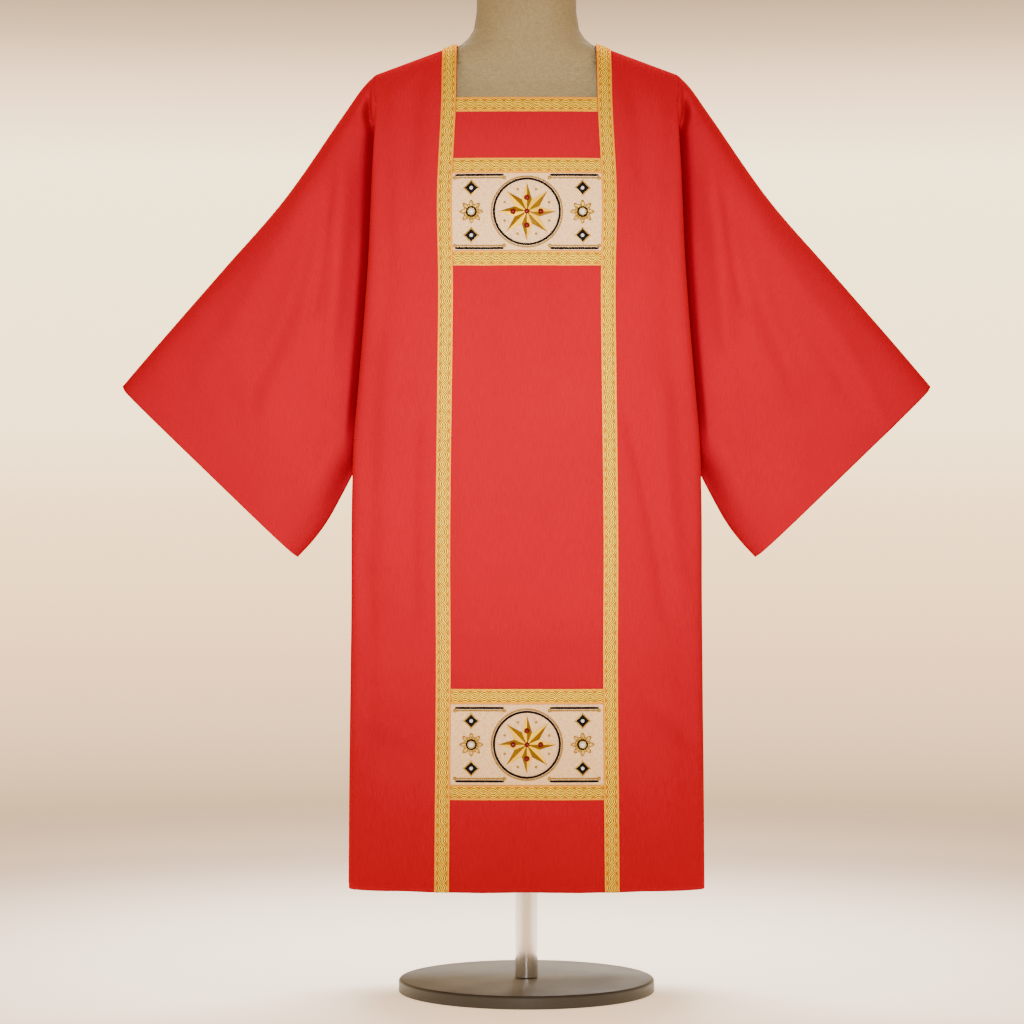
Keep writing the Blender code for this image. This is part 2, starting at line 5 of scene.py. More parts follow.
import bmesh
import bpy
import numpy as np
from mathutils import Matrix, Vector


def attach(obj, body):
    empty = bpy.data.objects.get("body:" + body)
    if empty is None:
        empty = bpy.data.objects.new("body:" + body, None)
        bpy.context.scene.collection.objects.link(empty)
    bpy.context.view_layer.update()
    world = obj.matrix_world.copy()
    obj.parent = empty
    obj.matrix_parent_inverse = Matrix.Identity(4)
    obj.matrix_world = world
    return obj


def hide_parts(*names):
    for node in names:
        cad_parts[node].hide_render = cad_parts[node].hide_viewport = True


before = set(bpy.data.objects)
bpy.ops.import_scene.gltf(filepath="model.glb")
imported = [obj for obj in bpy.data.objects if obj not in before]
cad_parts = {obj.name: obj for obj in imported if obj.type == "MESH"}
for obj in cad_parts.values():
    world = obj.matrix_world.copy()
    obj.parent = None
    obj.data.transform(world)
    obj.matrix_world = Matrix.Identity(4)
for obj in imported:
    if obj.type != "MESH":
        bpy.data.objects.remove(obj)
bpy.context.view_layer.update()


# Studio
# A pale floor with a painted pool of light around the foot that fades into a warm pale backdrop, and
# soft light, mostly from the front. The camera is level, at the height of the wearer's hips.


def linear(code):
    """The linear (r, g, b, 1) of an sRGB hex code."""
    parts = np.array([int(code[place : place + 2], 16) for place in (1, 3, 5)]) / 255.0
    bright = ((parts + 0.055) / 1.055) ** 2.4
    return (*np.where(parts <= 0.04045, parts / 12.92, bright).tolist(), 1.0)


def node(tree, kind, inputs=None, **settings):
    """Adds one node with its settings. An input given as a socket is linked, any other is set."""
    made = tree.nodes.new("ShaderNode" + kind)
    for name, value in settings.items():
        setattr(made, name, value)
    for name, value in (inputs or {}).items():
        if isinstance(value, bpy.types.NodeSocket):
            tree.links.new(value, made.inputs[name])
        else:
            made.inputs[name].default_value = value
    return made


def finish(name, values):
    """A material with one Principled shader, as (material, its node tree, the shader)."""
    made = bpy.data.materials.new(name)
    made.use_nodes = True
    shader = made.node_tree.nodes["Principled BSDF"]
    for socket, value in values.items():
        shader.inputs[socket].default_value = value
    return made, made.node_tree, shader


def between(tree, value, start, end, low=0.0, high=1.0, **settings):
    """A value that runs from start to end, spread over low to high and held at both."""
    spread = {"Value": value, "From Min": start, "From Max": end, "To Min": low, "To Max": high}
    return node(tree, "MapRange", spread, **settings).outputs[0]


def blend(tree, share, first, last):
    """A colour between two, each given as a hex code or a socket."""
    first, last = [linear(colour) if isinstance(colour, str) else colour for colour in (first, last)]
    return node(tree, "Mix", {0: share, 6: first, 7: last}, data_type="RGBA").outputs[2]


camera = bpy.data.objects.new("camera", bpy.data.cameras.new("camera"))
camera.location = (-0.0204, -4.5, 0.674)
camera.rotation_euler = (math.radians(90.0), 0.0, 0.0)
camera.data.sensor_width = 36.0
camera.data.lens = 112.2
bpy.context.scene.collection.objects.link(camera)
bpy.context.scene.camera = camera

for name, kind, place, aim, power in (
    ("key_light", "SPOT", (-0.05, -4.0, 0.75), (0.0, 0.0, 0.86), 1480.0),
    ("back_light", "SPOT", (0.4, 4.0, 1.6), (0.0, 0.0, 0.84), 120.0),
    ("floor_light", "AREA", (0.0, 1.7, 2.6), (0.0, 1.7, 0.0), 235.0),
):
    lamp = bpy.data.lights.new(name, kind)
    if kind == "SPOT":
        lamp.spot_size = math.radians(22.5)
        lamp.spot_blend = 1.0
        lamp.shadow_soft_size = 0.35
    else:
        lamp.shape = "DISK"
        lamp.size = 2.0
    lamp.energy = power
    placed = bpy.data.objects.new(name, lamp)
    placed.visible_camera = False
    placed.scale = (1.25, 1.0, 1.0)
    placed.location = place
    placed.rotation_mode = "QUATERNION"
    placed.rotation_quaternion = (Vector(aim) - Vector(place)).to_track_quat("-Z", "Y")
    bpy.context.scene.collection.objects.link(placed)

studio = bpy.data.worlds.new("studio")
studio.use_nodes = True
bpy.context.scene.world = studio
sky = studio.node_tree
direction = node(sky, "TexCoord").outputs["Generated"]
level = node(sky, "SeparateXYZ", {0: direction}).outputs["Z"]
shades = node(sky, "ValToRGB", {0: between(sky, level, -0.10, 0.16)})
for place, code in ((0.12, "#BC9974"), (0.23, "#D5AA80"), (0.38, "#E7C08D"), (0.50, "#FBDDA8"),
                    (0.80, "#FBE4B3"), (0.88, "#E1BC95"), (0.95, "#A98C6C")):
    shades.color_ramp.elements.new(place).color = linear(code)
shades.color_ramp.elements[0].color = linear("#8E7658")
shades.color_ramp.elements[-1].color = linear("#897257")
sky.links.new(shades.outputs["Color"], sky.nodes["Background"].inputs["Color"])
sky.nodes["Background"].inputs["Strength"].default_value = 4.0

floor_angle = np.linspace(0.0, 2.0 * math.pi, 96, endpoint=False)
floor_radius = np.linspace(0.0, 3.4, 18)[1:]
floor_rings = floor_radius[:, None] * np.stack([np.cos(floor_angle), np.sin(floor_angle)])[:, None]
floor_points = np.stack([*floor_rings, 0.0 * floor_rings[0]], axis=-1).reshape(-1, 3)
ring = np.arange(len(floor_radius) * 96).reshape(-1, 96)
beside = np.roll(ring, -1, axis=1)
floor_faces = np.stack([ring[:-1], ring[1:], beside[1:], beside[:-1]], axis=-1).reshape(-1, 4)
floor_mesh = bpy.data.meshes.new("floor")
floor_mesh.from_pydata(floor_points.tolist(), [], [*floor_faces.tolist(), ring[0].tolist()])
floor = bpy.data.objects.new("floor", floor_mesh)
bpy.context.scene.collection.objects.link(floor)

# Pale paper floor: a painted pool of light, a glow and lighter colour about the foot, fading into the
# backdrop.
paper, tree, shader = finish("pale floor", {"Roughness": 0.75, "Emission Color": linear("#FFE0B8")})
place = node(tree, "TexCoord").outputs["Object"]
distance = node(tree, "VectorMath", {0: place}, operation="LENGTH").outputs["Value"]
fade = between(tree, distance, 1.9, 3.3, 1.0, 0.0, interpolation_type="SMOOTHSTEP")
# Painted light: the floor's glow and its lighter colour fall off with distance from the foot.
painted_light_pool = between(tree, distance, 0.3, 1.9, 1.0, 0.0, interpolation_type="SMOOTHSTEP")
tree.links.new(blend(tree, painted_light_pool, "#AD957C", "#FFF6E8"), shader.inputs["Base Color"])
tree.links.new(painted_light_pool, shader.inputs["Emission Strength"])
tree.links.new(fade, shader.inputs["Alpha"])
floor_mesh.materials.append(paper)


# Foot and pole of the stand
# A turned steel plate under satin black paint, and a chromed tube that stands in it and carries the
# form. Both are profiles turned about the upright axis.

FOOT_RADIUS = 0.180
FOOT_HEIGHT = 0.018
POLE_RADIUS = 0.016
FORM_FOOT = 0.625
CONTACT_GAP = 0.0003


def soft_step(t):
    """0 below 0, 1 above 1, and smooth between."""
    t = np.clip(t, 0.0, 1.0)
    return t * t * (3.0 - 2.0 * t)


def mix(a, b, share):
    return a + (b - a) * share


def arc(radius, height, size, start, stop):
    """Points (radius, height) of a round of that size about one point, between two angles."""
    angle = np.radians(np.linspace(start, stop, 9))
    return np.stack([radius + size * np.cos(angle), height + size * np.sin(angle)], axis=-1)


def turned(profile, steps):
    """Points (steps, profile points, 3): each (radius, height) of the profile turned about z."""
    angle = np.linspace(0.0, 2.0 * math.pi, steps, endpoint=False)[:, None]
    radius, height = np.array(profile).T
    return np.stack([radius * np.cos(angle), radius * np.sin(angle), height + 0.0 * angle], axis=-1)


def grid_mesh(name, points, around=False, gone=None):
    """A smooth quad mesh over points (rows, columns, 3). around joins the last row to the first,
    and gone marks cells that are left out. The UV map holds the distance along the grid in metres:
    across from the middle column, and down from the first row."""
    rows, columns = points.shape[:2]
    whole = np.concatenate([points, points[:1]]) if around else points
    numbers = np.arange(len(whole) * columns).reshape(len(whole), columns)
    cells = np.stack([numbers[:-1, :-1], numbers[:-1, 1:], numbers[1:, 1:], numbers[1:, :-1]], axis=-1)
    cells = cells[~gone] if gone is not None else cells.reshape(-1, 4)
    steps = np.linalg.norm(np.diff(whole, axis=1), axis=-1)
    across = np.concatenate([np.zeros((len(whole), 1)), np.cumsum(steps, axis=1)], axis=1)
    across = across - across[:, columns // 2 : columns // 2 + 1]
    drops = np.linalg.norm(np.diff(whole, axis=0), axis=-1).mean(axis=1)
    down = np.concatenate([[0.0], np.cumsum(drops)])[:, None] + 0.0 * across
    used, faces = np.unique(cells % (rows * columns), return_inverse=True)
    mesh = bpy.data.meshes.new(name)
    mesh.from_pydata(points.reshape(-1, 3)[used].tolist(), [], faces.reshape(-1, 4).tolist())
    flat = np.stack([across, down], axis=-1).reshape(-1, 2)[cells.ravel()]
    mesh.uv_layers.new(name="cloth").data.foreach_set("uv", flat.ravel())
    mesh.shade_smooth()
    return mesh


def close_up(mesh, sharp=None):
    """Joins the points that meet, as at poles, and turns the closed surface's faces outwards."""
    shape = bmesh.new()
    shape.from_mesh(mesh)
    bmesh.ops.remove_doubles(shape, verts=shape.verts, dist=1e-6)
    bmesh.ops.recalc_face_normals(shape, faces=shape.faces)
    shape.to_mesh(mesh)
    shape.free()
    if sharp is not None:
        mesh.set_sharp_from_angle(angle=math.radians(sharp))
    return mesh


def piece(mesh, look, replaced=None):
    """Puts a mesh in the scene as a piece of the object, on its one body."""
    made = bpy.data.objects.new(mesh.name, mesh)
    bpy.context.scene.collection.objects.link(made)
    mesh.materials.append(look)
    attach(made, "root")
    if replaced:
        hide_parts(replaced)
    return made


def on_object(tree):
    """Places on the piece, as object coordinates in metres."""
    return node(tree, "TexCoord").outputs["Object"]


def on_cloth(tree):
    """Places along the piece's own grid, as its UV map in metres."""
    return node(tree, "UVMap", uv_map="cloth").outputs["UV"]


def noise(tree, place, scale, detail, turn=0.0, distortion=0.0):
    """A noise pattern, about 0.5. A scale of three numbers draws it out, turned about z by turn."""
    if isinstance(scale, tuple):
        lie = {"Vector": place, "Rotation": (0.0, 0.0, turn), "Scale": scale}
        place, scale = node(tree, "Mapping", lie).outputs[0], 1.0
    pattern = {"Vector": place, "Scale": scale, "Detail": detail, "Distortion": distortion}
    return node(tree, "TexNoise", pattern).outputs["Fac"]


# Satin paint on steel: near black, with the faint orange peel of a sprayed coat, 3 mm across.
painted_steel, tree, shader = finish(
    "satin black paint on steel", {"Base Color": linear("#232325"), "Roughness": 0.42})
place = on_object(tree)
peel = noise(tree, place, 340.0, 2.0)
dulled = between(tree, noise(tree, place, 14.0, 4.0), 0.0, 1.0, 0.34, 0.55)
coat = node(tree, "Bump", {"Strength": 0.25, "Distance": 0.0004, "Height": peel}).outputs[0]
tree.links.new(dulled, shader.inputs["Roughness"])
tree.links.new(coat, shader.inputs["Normal"])

foot_profile = [
    (0.0, FOOT_HEIGHT),
    (POLE_RADIUS + 0.006, FOOT_HEIGHT),
    *arc(FOOT_RADIUS - 0.004, FOOT_HEIGHT - 0.004, 0.004, 90.0, 0.0),
    *arc(FOOT_RADIUS - 0.001, 0.001, 0.001, 0.0, -90.0),
    (0.0, 0.0),
]
foot_mesh = close_up(grid_mesh("foot_plate", turned(foot_profile, 128), around=True), sharp=40.0)
piece(foot_mesh, painted_steel, "stand_base")

# Chromed tube: a hard mirror with faint lengthwise polishing lines.
chromed_tube, tree, shader = finish(
    "chromed tube", {"Base Color": linear("#D9D9DB"), "Metallic": 1.0, "Roughness": 0.12})
polish = noise(tree, on_object(tree), (700.0, 700.0, 9.0), 2.0)
worn = between(tree, polish, 0.0, 1.0, 0.07, 0.24)
tree.links.new(worn, shader.inputs["Roughness"])

pole_foot = FOOT_HEIGHT + CONTACT_GAP
pole_top = FORM_FOOT - CONTACT_GAP
pole_profile = [
    (0.0, pole_top),
    *arc(POLE_RADIUS - 0.001, pole_top - 0.001, 0.001, 90.0, 0.0),
    *arc(POLE_RADIUS - 0.001, pole_foot + 0.001, 0.001, 0.0, -90.0),
    (0.0, pole_foot),
]
pole_mesh = close_up(grid_mesh("pole_tube", turned(pole_profile, 64), around=True), sharp=40.0)
piece(pole_mesh, chromed_tube, "stand_pole")


# Dress form
# A limbless shell covered in tan canvas, sewn at the centre, the sides and the neck, with a turned
# beech cap. Level sections stand inside the cloth and carry it just under the shoulder line.

WALL = 0.0020
FORM_GAP = 0.0005
NECK_HALF_WIDTH = 0.0975
NECK_RIDGE_HEIGHT = 1.3315
SHOULDER_SLOPE = 0.368
SHOULDER_TIP = 0.2125
FRONT_DEPTH = 0.133
BACK_DEPTH = 0.130
FALL_LENGTH = 0.075
PLUMB_LENGTH = 0.20
FALL_POWER = 0.62
CORNER_ROUNDING = 0.36
HEM = 0.1527
EDGE_HEIGHTS = (HEM, 0.41, 0.55, 0.713, 0.772, 0.850, 0.968, 1.03, 1.11, 1.25)
EDGE_HALF_WIDTHS = (0.2455, 0.2432, 0.2420, 0.2411, 0.2390, 0.2321, 0.2224, 0.2182, 0.2148, 0.2090)
FORM_INSIDE = 0.80
FORM_NECK_ROOM = 3.5
FORM_NECK_RISE = 4.0
FORM_LEVELS = (
    # height, half width, half depth
    (0.625, 0.145, 0.098),
    (0.64, 0.152, 0.104),
    (0.70, 0.158, 0.110),
    (0.80, 0.150, 0.104),
    (0.90, 0.150, 0.100),
    (1.00, 0.156, 0.108),
    (1.10, 0.154, 0.108),
    (1.16, 0.160, 0.100),
    (1.20, 0.180, 0.090),
    (1.225, 0.193, 0.085),
    (1.25, 0.200, 0.080),
    (1.272, 0.2035, 0.070),
    (1.284, 0.2030, 0.068),
)
NECK_LEVELS = ((1.330, 0.0950), (1.340, 0.0830), (1.353, 0.0745), (1.378, 0.0705), (1.430, 0.0695))
NECK_HALF_DEPTH = 0.067


def graph(at, places, values):
    """A smooth graph through (place, value) pairs: cubic pieces with their neighbours' slopes."""
    places, values = np.array(places), np.array(values)
    slopes = np.gradient(values, places)
    at = np.clip(at, places[0], places[-1])
    i = np.clip(np.searchsorted(places, at) - 1, 0, len(places) - 2)
    span = places[i + 1] - places[i]
    u = (at - places[i]) / span
    rising = values[i + 1] * u * u * (3 - 2 * u) - span * slopes[i + 1] * u * u * (1 - u)
    falling = values[i] * (1 + 2 * u) * (1 - u) ** 2 + span * slopes[i] * u * (1 - u) ** 2
    return rising + falling


def ridge(x):
    """Height of the shoulder line at x: level over the neck, then straight and falling outwards."""
    return NECK_RIDGE_HEIGHT - SHOULDER_SLOPE * np.maximum(np.abs(x) - NECK_HALF_WIDTH, 0.0)


def fall(drop):
    """Share of the full depth at a drop below the shoulder line: round at the top, then plumb."""
    drop = np.maximum(drop, 0.0)
    return 1.0 - np.exp(-((drop / FALL_LENGTH) ** FALL_POWER) - (drop / PLUMB_LENGTH) ** 2)


def hang_depth(x, z, depth):
    """How far the cloth stands from the middle plane at x and z, without its folds."""
    across = np.abs(x) / graph(z, EDGE_HEIGHTS, EDGE_HALF_WIDTHS)
    return depth * fall(ridge(x) - z) * (1.0 - CORNER_ROUNDING * across**3)


def form_points():
    """Points (angles, heights, 3): level ovals through the table's widths and depths, kept inside
    the cloth, with shallow grooves where the cover's panels are sewn and a pole at each end."""
    under_ridge = NECK_RIDGE_HEIGHT - 0.5 * WALL - FORM_GAP
    slope = under_ridge - SHOULDER_SLOPE * np.linspace(0.092, 0.004, 5)
    slope_widths = NECK_HALF_WIDTH + (under_ridge - slope) / SHOULDER_SLOPE
    body, neck = np.array(FORM_LEVELS).T, np.array(NECK_LEVELS).T
    heights = np.concatenate([body[0], slope, neck[0]])
    widths = np.concatenate([body[1], slope_widths, neck[1]])
    depths = np.concatenate([body[2], np.linspace(0.070, NECK_HALF_DEPTH, len(slope) + len(neck[0]))])
    z = np.concatenate([np.linspace(heights[0], 1.20, 70), np.linspace(1.205, heights[-1], 90)])[None]
    half = np.sort(np.concatenate([np.linspace(0.0, 90.0, 25), [0.7, 1.4, 88.6, 89.3]]))
    angle = np.radians(np.concatenate([half, 180.0 - half[-2::-1]]))[:, None]
    x = np.interp(z, heights, widths) * np.cos(angle)
    halves = []
    for side, cloth_depth in ((-1, FRONT_DEPTH), (+1, BACK_DEPTH)):
        y = np.interp(z, heights, depths) * np.sin(angle)
        under = np.maximum(np.abs(x), NECK_HALF_WIDTH)
        room = FORM_INSIDE * hang_depth(under, z + 0.5 * WALL + FORM_GAP, cloth_depth)
        room = room + FORM_NECK_ROOM * (under - np.abs(x))
        room = room + FORM_NECK_RISE * np.maximum(z - NECK_RIDGE_HEIGHT, 0.0)
        y = np.minimum(y, room)
        y[0] = y[-1] = 0.0
        halves.append(np.stack([x, side * y, z + 0.0 * x], axis=-1))
    loop = np.concatenate([halves[0], halves[1][-2:0:-1]])
    seam = np.exp(-(np.degrees(angle - 0.5 * math.pi) / 0.9) ** 2)
    seam = np.concatenate([seam, seam[-2:0:-1]])[..., None]
    loop[..., :2] *= 1.0 - 0.012 * seam
    ends = loop[:, [0, -1]] * np.array([0.0, 0.0, 1.0])
    return np.concatenate([ends[:, :1], loop, ends[:, 1:]], axis=1)


def calc(tree, operation, *values):
    """The result of one Math node."""
    return node(tree, "Math", dict(enumerate(values)), operation=operation).outputs[0]


def toned(tree, colour, share):
    """A colour made darker or lighter by a share."""
    return node(tree, "VectorMath", {0: colour, "Scale": share}, operation="SCALE").outputs[0]


def surface(tree, shader, colour, height, strength, distance):
    """Gives a shader its colour and a relief from a height."""
    bump = node(tree, "Bump", {"Strength": strength, "Distance": distance, "Height": height})
    tree.links.new(colour, shader.inputs["Base Color"])
    tree.links.new(bump.outputs[0], shader.inputs["Normal"])


# Tan canvas: a plain weave, 0.6 mm between threads and drawn at 2 mm, matt, a little soiled.
canvas, tree, shader = finish(
    "tan canvas", {"Roughness": 0.9, "Sheen Weight": 0.05, "Specular IOR Level": 0.02})
place = on_object(tree)
warp = noise(tree, place, (900.0, 900.0, 160.0), 1.0)
weft = noise(tree, place, (160.0, 160.0, 900.0), 1.0)
weave = calc(tree, "ADD", warp, weft)
cover = blend(tree, noise(tree, place, 9.0, 5.0), "#75684A", "#8B7D5E")
surface(tree, shader, toned(tree, cover, between(tree, weave, 0.7, 1.3, 0.80, 1.12)), weave, 0.5, 0.0005)

form_mesh = close_up(grid_mesh("form_cover", form_points(), around=True), sharp=50.0)
piece(form_mesh, canvas, "form_torso")

# Turned beech: warm brown under a dull varnish, with grain drawn out in rings about the axis.
beech, tree, shader = finish("turned beech", {"Roughness": 0.45, "Specular IOR Level": 0.3})
figure = noise(tree, on_object(tree), (24.0, 150.0, 150.0), 6.0, distortion=0.6)
surface(tree, shader, blend(tree, figure, "#643A1C", "#946236"), figure, 0.2, 0.0003)

CAP_HEIGHT = 0.022
cap_foot = NECK_LEVELS[-1][0] + CONTACT_GAP
cap_radius = NECK_HALF_DEPTH - 0.002
bulge = np.linspace(0.0, 0.5 * math.pi, 24)
cap_profile = [
    *np.stack([cap_radius * np.sin(bulge), cap_foot + 0.006 + (CAP_HEIGHT - 0.006) * np.cos(bulge)],
              axis=-1),
    *arc(cap_radius - 0.002, cap_foot + 0.002, 0.002, 0.0, -90.0),
    (0.0, cap_foot),
]
cap_mesh = close_up(grid_mesh("cap_turning", turned(cap_profile, 96), around=True), sharp=50.0)
piece(cap_mesh, beech, "form_neck_cap")


# Front and back
# Two pieces of red satin twill, sewn at the shoulders and down the sides, each falling plumb from
# the shoulder line and turned back at its edges into a deep fold that holds the armhole seam.

SEAM_HALF_GAP = 0.0001
UNDERARM = 0.7445
NECK_TOPS = {-1: 1.2456, +1: 1.275}
DEPTHS = {-1: FRONT_DEPTH, +1: BACK_DEPTH}
GALLOON_HALF_WIDTH = 0.0100
GALLOON_HEIGHTS = (HEM, 0.25, 0.47, 0.62, 0.83, 1.00, 1.10, 1.25, NECK_RIDGE_HEIGHT)
GALLOON_MIDDLES = (0.1166, 0.1158, 0.1143, 0.1148, 0.1127, 0.1112, 0.1129, 0.1073, 0.1075)
EDGE_TURN_DEPTH = 0.075
EDGE_START = 0.030
FOLD_TOP = 1.265
FOLD_FULL = 1.140
FOLD_REACH = 0.060
FOLD_SEAM_DEPTH = 0.050
UNDERARM_REACH = 0.0150
UNDERARM_RISE = 0.130
SIDE_SEAM_HEIGHTS = (HEM, 0.41, 0.55, 0.65, 0.70, UNDERARM)
SIDE_SEAM_HALF_WIDTHS = (0.2495, 0.2470, 0.2440, 0.2360, 0.2300, 0.2260)
CREASE_FADE = 0.045
NECK_ROWS = 24
NECK_COLUMNS = 22
PANEL_CREASES = {
    # side: (top x, top z, bottom x, bottom z, width, height, bow), negative heights are troughs
    -1: (
        (-0.190, 0.88, -0.194, 0.64, 0.016, 0.0052, 0.003),
        (-0.153, 0.78, -0.156, 0.55, 0.010, -0.0052, 0.002),
        (-0.226, 0.60, -0.219, 0.54, 0.013, -0.0060, 0.0),
        (-0.204, 0.50, -0.199, 0.44, 0.018, 0.0040, 0.0),
        (-0.216, 0.392, -0.172, 0.368, 0.018, -0.0060, 0.0),
        (0.188, 0.82, 0.212, 0.58, 0.014, 0.0054, 0.005),
        (0.144, 0.78, 0.188, 0.55, 0.010, -0.0056, -0.004),
        (0.182, 0.402, 0.216, 0.372, 0.017, -0.0046, 0.0),
        (0.000, 0.25, 0.000, 0.19, 0.024, -0.0052, 0.0),
        (-0.206, 0.32, -0.216, HEM, 0.024, 0.0056, 0.0),
        (-0.160, 0.30, -0.168, HEM, 0.017, -0.0046, 0.0),
        (0.200, 0.33, 0.213, HEM, 0.024, 0.0054, 0.0),
        (0.152, 0.29, 0.158, HEM, 0.016, -0.0042, 0.0),
        (0.056, 0.25, 0.068, HEM, 0.022, 0.0036, 0.0),
        (-0.058, 0.24, -0.063, HEM, 0.020, 0.0034, 0.0),
        (-0.056, 0.99, -0.052, 0.80, 0.020, -0.0042, 0.002),
        (0.052, 0.98, 0.049, 0.82, 0.021, -0.0040, -0.002),
        (-0.084, 0.76, -0.078, 0.58, 0.018, 0.0036, 0.0),
        (0.080, 0.74, 0.076, 0.60, 0.018, 0.0034, 0.0),
        (-0.030, 0.505, 0.034, 0.500, 0.018, -0.0034, 0.0),
        (-0.150, 1.27, -0.158, 1.17, 0.014, -0.0042, 0.003),
        (-0.186, 1.25, -0.180, 1.08, 0.013, 0.0042, -0.003),
        (0.147, 1.26, 0.156, 1.16, 0.014, -0.0040, -0.002),
        (0.188, 1.24, 0.183, 1.10, 0.013, 0.0040, 0.002),
        (-0.2100, 1.30, -0.2105, 1.268, 0.004, -0.0035, 0.0),
        (0.2100, 1.30, 0.2105, 1.268, 0.004, -0.0035, 0.0),
        (-0.168, 1.04, -0.178, 0.90, 0.024, 0.0020, 0.0),
        (0.172, 1.02, 0.166, 0.88, 0.024, 0.0022, 0.0),
    ),
    +1: (
        (-0.175, 0.92, -0.186, 0.56, 0.016, 0.0042, 0.004),
        (-0.150, 0.80, -0.156, 0.55, 0.013, -0.0036, 0.002),
        (0.170, 0.88, 0.190, 0.50, 0.015, 0.0040, -0.004),
        (0.148, 0.70, 0.160, 0.46, 0.012, -0.0034, 0.003),
        (-0.030, 1.10, -0.018, 0.66, 0.040, -0.0030, 0.006),
        (0.045, 0.90, 0.056, 0.50, 0.030, 0.0026, -0.004),
        (-0.205, 0.40, -0.214, HEM, 0.026, 0.0040, 0.0),
        (0.200, 0.36, 0.210, HEM, 0.026, 0.0042, 0.0),
        (0.020, 0.34, 0.012, HEM, 0.036, -0.0032, 0.0),
        (-0.070, 0.30, -0.080, HEM, 0.024, 0.0026, 0.0),
        (-0.160, 1.24, -0.170, 1.06, 0.016, -0.0030, 0.003),
        (0.158, 1.25, 0.166, 1.08, 0.016, -0.0030, -0.003),
        (-0.190, 1.22, -0.186, 1.02, 0.013, 0.0028, 0.0),
        (0.190, 1.23, 0.188, 1.05, 0.013, 0.0028, 0.0),
    ),
}


def creases(x, z, rows):
    """Height of soft ridges and troughs at x and z. Each is a bowed line between two points: its
    height falls off as a bell curve across the line and past its ends."""
    total = 0.0 * (x + z)
    for x_top, z_top, x_foot, z_foot, width, height, bow in rows:
        run, rise = x_foot - x_top, z_foot - z_top
        length = math.hypot(run, rise)
        along = ((x - x_top) * run + (z - z_top) * rise) / length
        aside = ((x - x_top) * rise - (z - z_top) * run) / length
        aside = aside - bow * (1.0 - np.clip(2.0 * along / length - 1.0, -1.0, 1.0) ** 2)
        past = np.maximum(np.abs(along - 0.5 * length) - 0.5 * length, 0.0)
        total = total + height * np.exp(-((aside / width) ** 2) - (past / (2.5 * width)) ** 2)
    return total


def hung(x, z, side):
    """Points of the flat part of the front (side -1) or back (+1) at x and z, with its creases."""
    depth = hang_depth(x, z, DEPTHS[side])
    depth = depth + creases(x, z, PANEL_CREASES[side]) * soft_step((ridge(x) - z) / CREASE_FADE)
    return np.stack([x + 0.0 * z, side * depth, z + 0.0 * x], axis=-1)


def unit(vectors):
    return vectors / np.maximum(np.linalg.norm(vectors, axis=-1, keepdims=True), 1e-12)


def through(knots, t):
    """Points at t, from 0 to the last knot's number, on a smooth curve through knots (..., n, 3)."""
    last = knots.shape[-2] - 1
    i = np.clip(np.floor(t).astype(int), 0, last - 1)
    u = (t - i)[:, None]
    before, start = knots[..., np.maximum(i - 1, 0), :], knots[..., i, :]
    end, after = knots[..., i + 1, :], knots[..., np.minimum(i + 2, last), :]
    straight = 2 * start + (end - before) * u
    bend = (2 * before - 5 * start + 4 * end - after) * u**2
    return 0.5 * (straight + bend + (3 * (start - end) + after - before) * u**3)


def trimmed(edge, inside, by):
    """Edge points moved towards the points just inside them."""
    return edge + unit(inside - edge) * by


def armhole_seam(z):
    """Distance from the centre and depth of the armhole seam in the fold, then of the side seam."""
    edge = graph(z, EDGE_HEIGHTS, EDGE_HALF_WIDTHS)
    open_share = soft_step((z - UNDERARM) / UNDERARM_RISE)
    above = edge - mix(UNDERARM_REACH, FOLD_REACH, open_share)
    below = graph(z, SIDE_SEAM_HEIGHTS, SIDE_SEAM_HALF_WIDTHS)
    return np.where(z > UNDERARM, above, below), FOLD_SEAM_DEPTH * open_share


def level_at(x, row, side):
    """Height at x of a row: rows 0 to 1 run from the shoulder line to the neck's edge, and rows 1
    to 2 from there to the hem."""
    upper = mix(ridge(x), NECK_TOPS[side], np.minimum(row, 1.0) ** 2)
    return np.where(row < 1.0, upper, mix(NECK_TOPS[side], HEM, row - 1.0))


